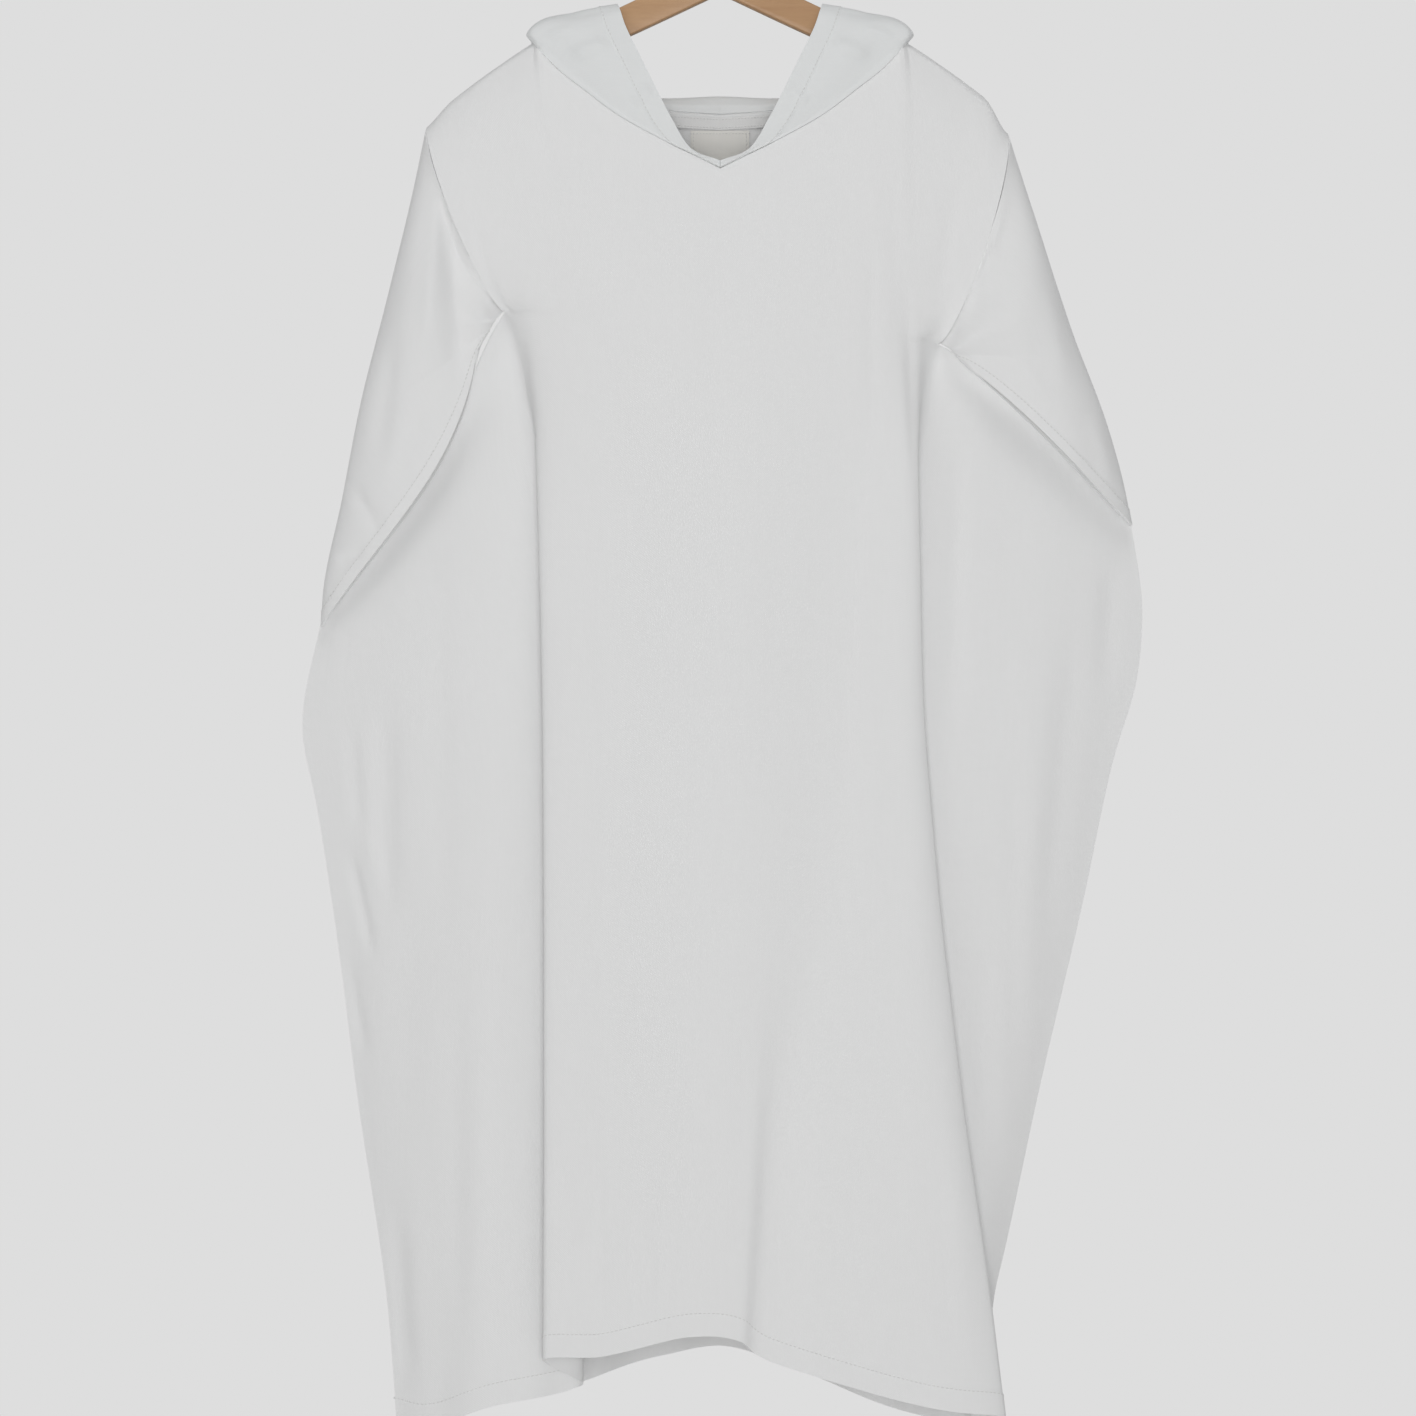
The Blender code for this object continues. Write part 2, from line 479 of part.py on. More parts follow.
def panel_depth(rows, x, z):
    """Depth of a panel's surface at a place seen from the front."""
    depths = [np.interp(x, row[:, 0], row[:, 1]) for row in rows]
    heights = [np.interp(x, row[:, 0], row[:, 2]) for row in rows]
    return np.interp(-z, [-height for height in heights], depths)


def neck_trim(rows, tape_finish, label_finish):
    """Tape along the inside of the back neck seam, and the blank label below it."""
    shares = np.linspace(-1, 1, TAPE_COLUMNS + 1)
    tape = []
    for drop in (TAPE_DROP, TAPE_DROP + TAPE_HEIGHT):
        line = []
        for x in shares * TAPE_REACH:
            z = np.interp(x, rows[0][:, 0], rows[0][:, 2]) - drop
            line.append((x, panel_depth(rows, x, z) - INSIDE, z))
        tape.append(line)
    cloth("neck_tape", [tape], tape_finish, TAPE_THICK)
    top = tape[1][TAPE_COLUMNS // 2][2] - SEAM_GAP
    label = []
    for z in np.linspace(top, top - LABEL_HEIGHT, LABEL_ROWS):
        xs = np.linspace(-LABEL_WIDTH / 2, LABEL_WIDTH / 2, LABEL_COLUMNS)
        label.append([(x, panel_depth(rows, x, z) - INSIDE, z) for x in xs])
    cloth("neck_label", [label], label_finish, LABEL_THICK)


# ---- build ----------------------------------------------------------------


def main():
    for stale in list(bpy.data.objects):
        bpy.data.objects.remove(stale)
    group = bpy.data.collections.new("surf_poncho")
    bpy.context.scene.collection.children.link(group)
    white = (0.86, 0.86, 0.85)
    panel("front_panel", FRONT_RIBS, NECK_FRONT, -1, material("front cloth", white, 0.9))
    back = panel("back_panel", BACK_RIBS, NECK_BACK, 1, material("back cloth", white, 0.9))
    neck_trim(back, material("neck tape", white, 0.85), material("label", (0.8, 0.8, 0.8), 0.7))
    for side in ("left", "right"):
        sleeve("sleeve_" + side, side, material("sleeve cloth " + side, white, 0.9))
        hood_half("hood_" + side, side, material("hood cloth " + side, white, 0.9))
    hanger_wood(material("beech", (0.62, 0.36, 0.17), 0.45))
    hanger_hook(material("hook steel", (0.72, 0.72, 0.72), 0.25, 1.0))


main()
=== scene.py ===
"""Looks of a hooded surf poncho on a flat wooden hanger.

Metres, +Z up, +X to the wearer's left, -Y to the front; the origin is the inner top of the hook.
The cloth follows the solids' own ribs, finer, with its folds, turned hems and stitches.
"""

import math

import bmesh
import bpy
import numpy as np
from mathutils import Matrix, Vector


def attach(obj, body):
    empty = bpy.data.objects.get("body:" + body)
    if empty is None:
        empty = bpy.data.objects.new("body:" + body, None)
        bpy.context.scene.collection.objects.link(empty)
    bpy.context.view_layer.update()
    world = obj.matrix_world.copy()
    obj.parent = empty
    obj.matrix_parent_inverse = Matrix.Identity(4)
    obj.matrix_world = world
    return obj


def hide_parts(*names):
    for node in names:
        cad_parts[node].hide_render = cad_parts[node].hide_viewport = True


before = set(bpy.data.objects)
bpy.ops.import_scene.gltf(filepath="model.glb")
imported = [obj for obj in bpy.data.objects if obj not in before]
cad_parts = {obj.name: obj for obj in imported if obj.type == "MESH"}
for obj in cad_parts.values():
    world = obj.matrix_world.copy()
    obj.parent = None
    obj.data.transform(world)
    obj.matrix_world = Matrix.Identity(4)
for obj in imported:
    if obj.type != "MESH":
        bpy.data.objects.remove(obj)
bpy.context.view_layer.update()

# ---- cloth and sewing -----------------------------------------------------
CLOTH = 0.0014              # one layer of cloth
HEM = 0.0024                # two layers, at a turned hem
LAYER = CLOTH / 2 + 0.00005  # middle of a layer sewn face to face with another
BODY_HEM = 0.020            # depth of the hem round the bottom
SLEEVE_HEM = 0.014
MOUTH_HEM = 0.016           # hem round the hood's mouth
FINER = 6                   # mesh columns to each column of the cut
STITCH = 0.0026             # length of a stitch
STITCH_GAP = 0.0010
THREAD = 0.00035            # radius of the sewing thread

# ---- sizes shared with the solids -----------------------------------------
SIDE = 0.0013
WOOD_THICK = 0.010
WOOD_DEPTH = 0.027
WOOD_REACH = 0.207
WOOD_TOP = -0.070
WOOD_SLOPE = 0.475
WOOD_BEND = 1.80
WOOD_BEND_START = 0.120
WOOD_TAPER = 0.35
WOOD_EASE = 0.0018
WIRE = 0.0035
HOOK_RADIUS = 0.021
HOOK_STEM = [(0, 0.0003), (0, 0.006), (0.0005, 0.013)]  # above the wood's top edge
HOOK_SWEEP = [(0.006, -0.0255), (0.0135, -0.0181)]      # from the middle of the round
HOOK_TURN = range(-40, 201, 15)                         # degrees round to the open end
CLEAR_OVER = 0.0022         # middle of the cloth beyond the wood's face, at its top edge
CLEAR_BESIDE = 0.0040       # and below it
SHOULDER_LIFT = 0.005       # shoulder seam above the wood
ARMHOLE_DEPTH = 0.027
ARMHOLE_GAP = 0.0007
CUFF_DEPTH = 0.011
SLEEVE_FORWARD = 0.024
SLEEVE_SWING = 0.45
SLEEVE_FLATTEN = 0.6
SLEEVE_SAG = {"left": 0.018, "right": -0.003}
SAG_SKEW = 1.4
TIP_SWING = 0.5             # share of the forward swing at the sleeve's top fold
MIDDLE_GAP = 0.00006        # edge of a hood half beside the middle plane
LABEL_WIDTH = 0.048
LABEL_HEIGHT = 0.028
LABEL_THICK = 0.0006
TAPE_HEIGHT = 0.010
TAPE_THICK = 0.0008
TAPE_REACH = 0.080
TAPE_DROP = 0.0025
INSIDE = 0.0019             # middle of tape and label inside the panel's middle

HOOD_LIFT = 0.0008          # first row of the hood above the neck seam

# ---- seam lines, each a few points (x, y, z) ------------------------------
SIDE_SEAM = {
    "left": [(-0.3225, 0, -0.598), (-0.339, 0, -0.7), (-0.3285, 0, -0.753), (-0.3154, 0, -0.834),
             (-0.294, 0, -0.997), (-0.27, 0, -1.163), (-0.2626, 0, -1.257)],
    "right": [(0.332, 0, -0.515), (0.3431, 0, -0.603), (0.339, 0, -0.652), (0.3195, 0, -0.72),
              (0.2959, 0, -0.83), (0.2577, 0, -0.994), (0.2317, 0, -1.115), (0.2225, 0, -1.155),
              (0.221, 0, -1.262)],
}
SHOULDER_TIP = {"left": (-0.235, 0, -0.205), "right": (0.23, 0, -0.21)}
UNDERARM = {"left": (-0.1745, 0, -0.356), "right": (0.1765, 0, -0.382)}
ARMHOLE_BOW = {"left": 0.012, "right": 0.014}
SLEEVE_TOP = {
    "left": [(-0.235, 0, -0.205), (-0.248, 0, -0.265), (-0.2675, 0, -0.346), (-0.2886, 0, -0.428),
             (-0.3045, 0, -0.509), (-0.3205, 0, -0.59), (-0.3215, 0, -0.612)],
    "right": [(0.23, 0, -0.21), (0.251, 0, -0.275), (0.2821, 0, -0.371), (0.3106, 0, -0.444),
              (0.3262, 0, -0.501), (0.3318, 0, -0.53)],
}
SLEEVE_UNDER = {
    "left": [(-0.1745, 0, -0.3525), (-0.192, 0, -0.385)],
    "right": [(0.1765, 0, -0.3785), (0.2, 0, -0.403)],
}

# ---- ribs of the front, column and points from top to hem -----------------
FRONT_RIBS = {
    3: [(-0.262, -SIDE, -0.515), (-0.268, -0.012, -0.62), (-0.262, -0.016, -0.75),
        (-0.25, -0.016, -0.95), (-0.235, -0.016, -1.12), (-0.228, -0.014, -1.258)],
    5: [(-0.222, -SIDE, -0.452), (-0.205, -0.018, -0.55), (-0.19, -0.027, -0.7),
        (-0.189, -0.03, -0.9), (-0.187, -0.03, -1.1), (-0.186, -0.028, -1.241)],
    7: [(-0.1745, -SIDE, -0.356), (-0.16, -0.01, -0.43), (-0.138, -0.016, -0.52),
        (-0.123, -0.018, -0.65), (-0.119, -0.019, -0.9), (-0.119, -0.018, -1.228)],
    8: [(-0.164, -0.012, -0.357), (-0.154, -0.018, -0.43), (-0.135, -0.024, -0.52),
        (-0.118, -0.026, -0.65), (-0.113, -0.028, -0.9), (-0.113, -0.028, -1.22)],
    9: [(-0.15, -0.022, -0.358), (-0.1485, -0.031, -0.43), (-0.146, -0.037, -0.52),
        (-0.142, -0.04, -0.65), (-0.14, -0.042, -0.9), (-0.14, -0.044, -1.202)],
    11: [(-0.105, -0.036, -0.362), (-0.105, -0.043, -0.43), (-0.102, -0.048, -0.52),
         (-0.098, -0.052, -0.9), (-0.096, -0.053, -1.196)],
    14: [(-0.03, -0.042, -0.366), (-0.03, -0.047, -0.52), (-0.028, -0.05, -0.75),
         (-0.025, -0.052, -1), (-0.022, -0.053, -1.18)],
    16: [(0.03, -0.042, -0.37), (0.032, -0.047, -0.52), (0.03, -0.05, -0.75),
         (0.022, -0.053, -1), (0.014, -0.054, -1.183)],
    18: [(0.112, -0.034, -0.374), (0.1165, -0.037, -0.464), (0.112, -0.039, -0.58),
         (0.1065, -0.04, -0.772), (0.09, -0.041, -0.891), (0.077, -0.041, -0.96),
         (0.068, -0.041, -1.04), (0.058, -0.042, -1.208)],
    19: [(0.132, -0.034, -0.377), (0.137, -0.041, -0.47), (0.135, -0.046, -0.6),
         (0.137, -0.049, -0.78), (0.138, -0.051, -0.95), (0.145, -0.05, -1.232)],
    21: [(0.157, -0.02, -0.38), (0.158, -0.036, -0.45), (0.1595, -0.04, -0.54),
         (0.1635, -0.042, -0.695), (0.172, -0.043, -0.8), (0.189, -0.043, -0.962),
         (0.2154, -0.042, -1.1545), (0.2262, -0.041, -1.246)],
    23: [(0.1765, -SIDE, -0.382), (0.166, -0.014, -0.45), (0.155, -0.022, -0.54),
         (0.154, -0.025, -0.695), (0.16, -0.025, -0.8), (0.176, -0.024, -0.962),
         (0.198, -0.021, -1.1545), (0.204, -0.019, -1.258)],
    25: [(0.222, -SIDE, -0.411), (0.207, -0.014, -0.52), (0.2, -0.02, -0.695),
         (0.202, -0.02, -0.8), (0.205, -0.018, -0.962), (0.209, -0.014, -1.1545),
         (0.212, -0.012, -1.262)],
    27: [(0.281, -SIDE, -0.459), (0.274, -0.012, -0.56), (0.258, -0.016, -0.695),
         (0.245, -0.016, -0.83), (0.228, -0.014, -0.99), (0.216, -0.009, -1.1545),
         (0.217, -0.007, -1.262)],
}
# ---- ribs of the back -----------------------------------------------------
BACK_RIBS = {
    3: [(-0.262, SIDE, -0.515), (-0.27, 0.013, -0.62), (-0.262, 0.018, -0.75),
        (-0.25, 0.02, -0.95), (-0.235, 0.02, -1.12), (-0.228, 0.018, -1.258)],
    5: [(-0.222, SIDE, -0.452), (-0.215, 0.02, -0.55), (-0.205, 0.028, -0.7),
        (-0.205, 0.032, -0.9), (-0.2, 0.034, -1.1), (-0.198, 0.034, -1.25)],
    7: [(-0.1745, SIDE, -0.356), (-0.165, 0.022, -0.43), (-0.16, 0.03, -0.55),
        (-0.158, 0.034, -0.75), (-0.155, 0.036, -1), (-0.154, 0.036, -1.244)],
    10: [(-0.105, 0.034, -0.362), (-0.11, 0.046, -0.5), (-0.112, 0.05, -0.75),
         (-0.112, 0.054, -1), (-0.11, 0.056, -1.234)],
    13: [(-0.04, 0.038, -0.366), (-0.045, 0.042, -0.52), (-0.05, 0.042, -0.75),
         (-0.052, 0.041, -1), (-0.052, 0.04, -1.212)],
    15: [(0.003, 0.04, -0.369), (0.003, 0.046, -0.52), (0.003, 0.051, -0.75),
         (0.004, 0.055, -1), (0.004, 0.057, -1.206)],
    17: [(0.045, 0.038, -0.372), (0.05, 0.042, -0.52), (0.055, 0.043, -0.75),
         (0.06, 0.042, -1), (0.062, 0.041, -1.222)],
    20: [(0.11, 0.034, -0.377), (0.115, 0.046, -0.5), (0.12, 0.05, -0.75),
         (0.126, 0.052, -1), (0.13, 0.052, -1.252)],
    23: [(0.1765, SIDE, -0.382), (0.17, 0.022, -0.45), (0.168, 0.03, -0.56),
         (0.17, 0.032, -0.75), (0.176, 0.03, -0.98), (0.182, 0.028, -1.262)],
    25: [(0.222, SIDE, -0.411), (0.215, 0.02, -0.52), (0.208, 0.028, -0.695),
         (0.205, 0.028, -0.85), (0.203, 0.024, -1.05), (0.202, 0.02, -1.266)],
    27: [(0.281, SIDE, -0.459), (0.276, 0.013, -0.56), (0.262, 0.017, -0.695),
         (0.247, 0.016, -0.83), (0.229, 0.014, -0.99), (0.214, 0.012, -1.1545),
         (0.212, 0.012, -1.266)],
}
COLUMNS = 29
BODY_COLUMNS = (7, 23)
SHOULDER_STEPS = (0.22, 0.6)
NECK_STEPS = (0.075, 0.29, 0.53, 0.77, 1)
LOW_ROWS = 146
EDGE_FADE = 5
PANEL_DROP = 0.90           # underarm to hem
HEM_ROWS = 5                # rows in the turned hem
HIGH_ROWS = 72              # rows from the wood's edge to the underarm
EASED_FROM = (5, 18)        # rows in which the evening of the chest sets in
EASED_PAST = (2, 16)        # rows past the underarm in which it dies away
EASED_SIDES = 10            # columns beside the armholes in which it sets in
EASING_TURNS = 160
HOLD_ROWS = 8               # rows and columns beside a seam in which folds set in
HOLD_COLUMNS = 4
SLEEVE_HOLD = 6             # rows beside the armhole in which the sleeve's creases set in
HOOD_HOLD = 5               # columns beside the hood's two ends
SLEEVE_ROWS = 110
SLEEVE_RING = 129           # points round a sleeve, the first and last in one place
HOOD_ROWS = 116
HOOD_COLUMNS = 110
HOOD_RISE_ROW = 12          # row by which the hood's first rise is measured
HOOD_FULL = 0.0010          # fullness of the hood beyond its ribs
SEAM_STEPS = 200
RIPPLE = 0.0005             # waviness of the panels
SLEEVE_RIPPLE = 0.0004

# ---- neck seam of the left half, from the shoulder to the middle ----------
NECK_FRONT = [(-0.15, -0.0006, -0.137), (-0.1472, -0.01, -0.1432), (-0.136, -0.014, -0.157),
              (-0.111, -0.019, -0.178), (-0.0837, -0.023, -0.199), (-0.0465, -0.028, -0.2205),
              (0, -0.031, -0.244)]
NECK_BACK = [(-0.15, 0.0006, -0.137), (-0.1472, 0.01, -0.1432), (-0.13, 0.014, -0.159),
             (-0.096, 0.018, -0.177), (-0.05, 0.021, -0.188), (0, 0.022, -0.192)]

# ---- the hood beyond the neck seam, from the front V round to the nape ----
# each rib runs from near the neck seam to the edge of the hood's mouth; behind the
# hanger its points are seam, rise, crest, over, down, down, bottom, up, up, mouth
HOOD_RIBS = [
    [(MIDDLE_GAP, -0.0315, -0.2415), (MIDDLE_GAP, -0.0312, -0.237)],
    [(0.025, -0.0305, -0.232), (0.0236, -0.03, -0.227)],
    [(0.047, -0.029, -0.219), (0.044, -0.0305, -0.211), (0.0395, -0.029, -0.202)],
    [(0.083, -0.0245, -0.197), (0.07, -0.0275, -0.187), (0.052, -0.025, -0.177)],
    [(0.11, -0.0205, -0.176), (0.091, -0.025, -0.163), (0.065, -0.02, -0.15)],
    [(0.136, -0.016, -0.154), (0.111, -0.021, -0.136), (0.076, -0.015, -0.127)],
    [(0.1475, -0.011, -0.1405), (0.1505, -0.0135, -0.1358), (0.1538, -0.014, -0.1305),
     (0.144, -0.0135, -0.1225), (0.115, -0.0125, -0.117), (0.081, -0.0105, -0.112)],
    [(0.1492, 0, -0.1342), (0.1548, 0, -0.133), (0.1564, 0, -0.129),
     (0.148, 0.001, -0.119), (0.12, 0.002, -0.112), (0.084, 0.002, -0.105)],
    [(0.1475, 0.011, -0.1405), (0.1503, 0.0134, -0.1358), (0.154, 0.019, -0.131),
     (0.155, 0.03, -0.128), (0.154, 0.042, -0.128), (0.15, 0.05, -0.13),
     (0.141, 0.056, -0.132), (0.127, 0.052, -0.128), (0.11, 0.041, -0.12),
     (0.088, 0.025, -0.11)],
    [(0.14, 0.013, -0.151), (0.143, 0.016, -0.14), (0.146, 0.025, -0.133),
     (0.148, 0.036, -0.135), (0.151, 0.049, -0.15), (0.151, 0.06, -0.174),
     (0.142, 0.071, -0.185), (0.131, 0.078, -0.168), (0.114, 0.066, -0.139),
     (0.093, 0.044, -0.119)],
    [(0.128, 0.0145, -0.16), (0.13, 0.018, -0.148), (0.133, 0.028, -0.139),
     (0.137, 0.04, -0.145), (0.14, 0.053, -0.185), (0.142, 0.064, -0.235),
     (0.136, 0.077, -0.252), (0.13, 0.088, -0.225), (0.116, 0.082, -0.17),
     (0.096, 0.059, -0.128)],
    [(0.07, 0.0205, -0.182), (0.071, 0.024, -0.1775), (0.073, 0.036, -0.1735),
     (0.079, 0.056, -0.185), (0.086, 0.064, -0.26), (0.085, 0.068, -0.34),
     (0.081, 0.08, -0.364), (0.085, 0.096, -0.33), (0.088, 0.099, -0.25),
     (0.072, 0.088, -0.172)],
    [(MIDDLE_GAP, 0.0225, -0.189), (MIDDLE_GAP, 0.026, -0.1815), (MIDDLE_GAP, 0.037, -0.175),
     (MIDDLE_GAP, 0.059, -0.193), (MIDDLE_GAP, 0.065, -0.29), (MIDDLE_GAP, 0.07, -0.385),
     (MIDDLE_GAP, 0.082, -0.408), (MIDDLE_GAP, 0.097, -0.37), (MIDDLE_GAP, 0.101, -0.28),
     (MIDDLE_GAP, 0.093, -0.198)],
]
# ---- folds and creases: ends (x, z), half width, depth; a ridge is negative
FRONT_CREASES = [
    (-0.006, -0.3, -0.004, -0.48, 0.012, 0.0011),
    (0.04, -0.5, 0.042, -0.64, 0.014, 0.0012),
    (0.14, -0.25, 0.143, -0.4, 0.008, 0.001),
    (0.122, -0.29, 0.121, -0.52, 0.007, 0.0014),
    (0.117, -0.48, 0.096, -0.76, 0.006, 0.0018),
    (0.15, -0.33, 0.157, -0.52, 0.005, 0.0016),
    (-0.098, -1.04, -0.094, -1.17, 0.006, 0.0014),
    (-0.071, -1.06, -0.069, -1.175, 0.005, 0.0011),
    (-0.049, -1.05, -0.047, -1.165, 0.006, 0.0012),
    (-0.272, -0.67, -0.27, -0.85, 0.011, 0.0042),
    (-0.3, -0.795, -0.281, -0.88, 0.005, 0.0026),
    (-0.286, -0.78, -0.272, -0.84, 0.004, -0.0014),
    (-0.3, -0.69, -0.292, -0.78, 0.006, 0.002),
    (-0.305, -0.88, -0.288, -0.96, 0.006, 0.0018),
    (-0.262, -1.08, -0.252, -1.23, 0.008, 0.0018),
    (-0.227, -0.56, -0.224, -0.88, 0.01, 0.0016),
    (-0.214, -0.9, -0.21, -1.2, 0.009, 0.0014),
    (-0.165, -0.38, -0.15, -0.47, 0.006, 0.0016),
    (-0.205, -0.25, -0.188, -0.345, 0.007, 0.0018),
    (-0.15, -0.2, -0.128, -0.26, 0.01, 0.0012),
    (0.192, -0.25, 0.176, -0.35, 0.007, 0.0014),
    (0.29, -0.6, 0.262, -0.86, 0.01, 0.0016),
    (0.318, -0.56, 0.312, -0.66, 0.007, 0.0018),
    (0.24, -0.7, 0.236, -1, 0.01, 0.0014),
    (0.193, -0.47, 0.186, -0.7, 0.008, 0.0018),
    (0.02, -0.9, 0.01, -1.18, 0.01, 0.001),
    (0.1, -1.06, 0.11, -1.2, 0.008, 0.0014),
    (0.172, -1.02, 0.186, -1.22, 0.007, 0.0014),
]
BACK_CREASES = [
    (-0.08, -0.42, -0.086, -0.76, 0.012, 0.0034),
    (-0.02, -0.56, -0.024, -1.02, 0.01, 0.0027),
    (0.08, -0.42, 0.088, -0.8, 0.012, 0.0034),
    (0.028, -0.62, 0.03, -1.1, 0.009, 0.0026),
    (-0.135, -0.52, -0.134, -0.98, 0.008, 0.0037),
    (0.142, -0.5, 0.148, -0.96, 0.008, 0.0037),
    (-0.23, -0.56, -0.226, -1.04, 0.01, 0.0031),
    (-0.29, -0.64, -0.276, -0.86, 0.008, 0.0034),
    (0.24, -0.56, 0.232, -0.9, 0.01, 0.0031),
    (0.3, -0.56, 0.282, -0.78, 0.008, 0.0034),
    (-0.17, -0.23, -0.16, -0.34, 0.008, 0.0024),
    (0.17, -0.24, 0.16, -0.35, 0.008, 0.0024),
    (-0.075, -0.95, -0.073, -1.2, 0.007, 0.0027),
    (0.094, -0.98, 0.097, -1.22, 0.007, 0.0027),
]
SLEEVE_CREASES = {
    "left": [
        (-0.2135, -0.235, -0.2085, -0.425, 0.013, 0.0105),
        (-0.226, -0.25, -0.236, -0.39, 0.006, -0.002),
        (-0.19, -0.3, -0.206, -0.395, 0.006, 0.0016),
        (-0.262, -0.38, -0.276, -0.48, 0.008, 0.0018),
        (-0.296, -0.5, -0.272, -0.54, 0.006, 0.0022),
        (-0.309, -0.56, -0.286, -0.552, 0.005, 0.0016),
        (-0.236, -0.44, -0.262, -0.5, 0.007, 0.0014),
    ],
    "right": [
        (0.222, -0.25, 0.214, -0.345, 0.008, 0.0034),
        (0.206, -0.3, 0.196, -0.38, 0.005, 0.0022),
        (0.262, -0.34, 0.278, -0.42, 0.009, 0.0014),
        (0.3, -0.44, 0.316, -0.5, 0.007, 0.0012),
        (0.236, -0.39, 0.262, -0.432, 0.006, 0.0012),
    ],
}
HOOD_CREASES = [
    (0.07, -0.19, 0.055, -0.178, 0.004, 0.002),
    (0.12, -0.15, 0.09, -0.14, 0.005, 0.0027),
    (0.14, -0.135, 0.118, -0.128, 0.003, 0.0017),
    (0.06, -0.23, 0.052, -0.34, 0.007, 0.0037),
    (0.024, -0.24, 0.02, -0.37, 0.007, 0.0031),
    (0.098, -0.2, 0.09, -0.3, 0.008, 0.0037),
]

# ---- surface helpers ------------------------------------------------------


def blend(at, knots, values):
    """Smooth cubic through the values at the knots, read at the given places."""
    knots = np.asarray(knots, float)
    values = np.asarray(values, float)
    at = np.clip(at, knots[0], knots[-1])
    slopes = np.gradient(values, knots, axis=0)
    left = np.clip(np.searchsorted(knots, at, side="right") - 1, 0, len(knots) - 2)
    step = (knots[left + 1] - knots[left])[:, None]
    t = (at - knots[left])[:, None] / step
    start = values[left] * (1 + 2 * t) * (1 - t) ** 2 + values[left + 1] * t * t * (3 - 2 * t)
    return start + step * (slopes[left] * t * (1 - t) ** 2 + slopes[left + 1] * t * t * (t - 1))


def along(points, shares):
    """Points on a smooth curve through a few points, at shares of its length."""
    points = np.asarray(points, float)
    lengths = np.linalg.norm(np.diff(points, axis=0), axis=1)
    travelled = np.concatenate([[0], np.cumsum(lengths)])
    return blend(np.asarray(shares) * travelled[-1], travelled, points)


def even(count):
    """Shares of a curve cut into equal steps."""
    return np.linspace(0, 1, count + 1)


def smooth(value, low, high):
    """Eased step from 0 at low to 1 at high."""
    t = np.clip((value - low) / (high - low), 0, 1)
    return t * t * (3 - 2 * t)


def mirrored(points):
    """The same points on the other side of the garment."""
    return np.asarray(points, float) * (-1, 1, 1)


def wood_top(x):
    """Height of the hanger's top edge at a distance from its middle."""
    past = np.maximum(0.0, np.abs(x) - WOOD_BEND_START)
    return WOOD_TOP - WOOD_SLOPE * np.abs(x) - WOOD_BEND * past * past


def to_hem(grid):
    """Distance of each point from the last row, along its own column."""
    steps = np.linalg.norm(np.diff(grid, axis=0), axis=2)
    down = np.concatenate([np.zeros((1, grid.shape[1])), np.cumsum(steps, axis=0)])
    return down[-1] - down


def outwards(grid, flip):
    """Unit normal at each point of a grid; flip is 1 or -1."""
    across = np.gradient(grid, axis=1)
    down = np.gradient(grid, axis=0)
    normal = np.cross(down, across) * flip
    return normal / np.maximum(np.linalg.norm(normal, axis=2, keepdims=True), 1e-12)


def creased(grid, normal, creases):
    """Press soft troughs and raise soft ridges along short lines seen from the front."""
    out = grid.copy()
    x, z = grid[:, :, 0], grid[:, :, 2]
    for x0, z0, x1, z1, width, depth in creases:
        run = np.array([x1 - x0, z1 - z0])
        length = np.linalg.norm(run)
        share = ((x - x0) * run[0] + (z - z0) * run[1]) / length ** 2
        held = np.clip(share, 0, 1)
        off = np.hypot(x - x0 - held * run[0], z - z0 - held * run[1])
        fade = smooth(share, -0.10, 0.30) * smooth(-share, -1.10, -0.70)
        out -= normal * (depth * fade * np.exp(-(off / width) ** 2))[:, :, None]
    return out


def rippled(grid, normal, size):
    """Slight waviness of cloth that hangs by its own weight, fading out at the top."""
    x, z = grid[:, :, 0], grid[:, :, 2]
    wave = np.sin(71 * x + 2.1 * np.sin(5.3 * z)) + 0.6 * np.sin(133 * x - 6.0 * z + 1.7)
    wave = wave + 0.5 * np.sin(39 * z + 17 * x) * np.sin(23 * x + 0.6)
    lower = smooth(-z, 0.30, 1.20)
    return grid + normal * (size * (0.35 + 0.65 * lower) * wave)[:, :, None]


# ---- the cut pieces as grids of points ------------------------------------


def low_shares():
    """Rows from the underarm to the hem, with two close rows where the hem's fold ends."""
    fold = 1 - BODY_HEM / PANEL_DROP
    return np.concatenate([np.linspace(0, fold - 0.0015, LOW_ROWS), np.linspace(fold, 1, HEM_ROWS)])


def high_shares():
    """Rows from the shoulder to the underarm, closest over the top of the wood."""
    over = [0, 0.0015, 0.004, 0.008, 0.013, 0.019, 0.026]
    return np.concatenate([over, np.linspace(0.035, 1, HIGH_ROWS)])


def armhole(side, face, shares):
    """Front (-1) or back (1) edge of the armhole from shoulder tip to underarm."""
    tip = np.array(SHOULDER_TIP[side])
    under = np.array(UNDERARM[side])
    away = -1 if side == "left" else 1
    edge = tip + (under - tip) * shares[:, None]
    opened = 2 * np.sqrt(shares * (1 - shares))
    edge[:, 0] += away * ARMHOLE_BOW[side] * opened
    edge[:, 1] += face * (ARMHOLE_DEPTH * opened + LAYER)
    return edge


def keep_apart(rows, face):
    """Hold a panel's points on its own side of the garment's middle plane."""
    rows[:, :, 1] = face * np.maximum(face * rows[:, :, 1], LAYER)
    return rows


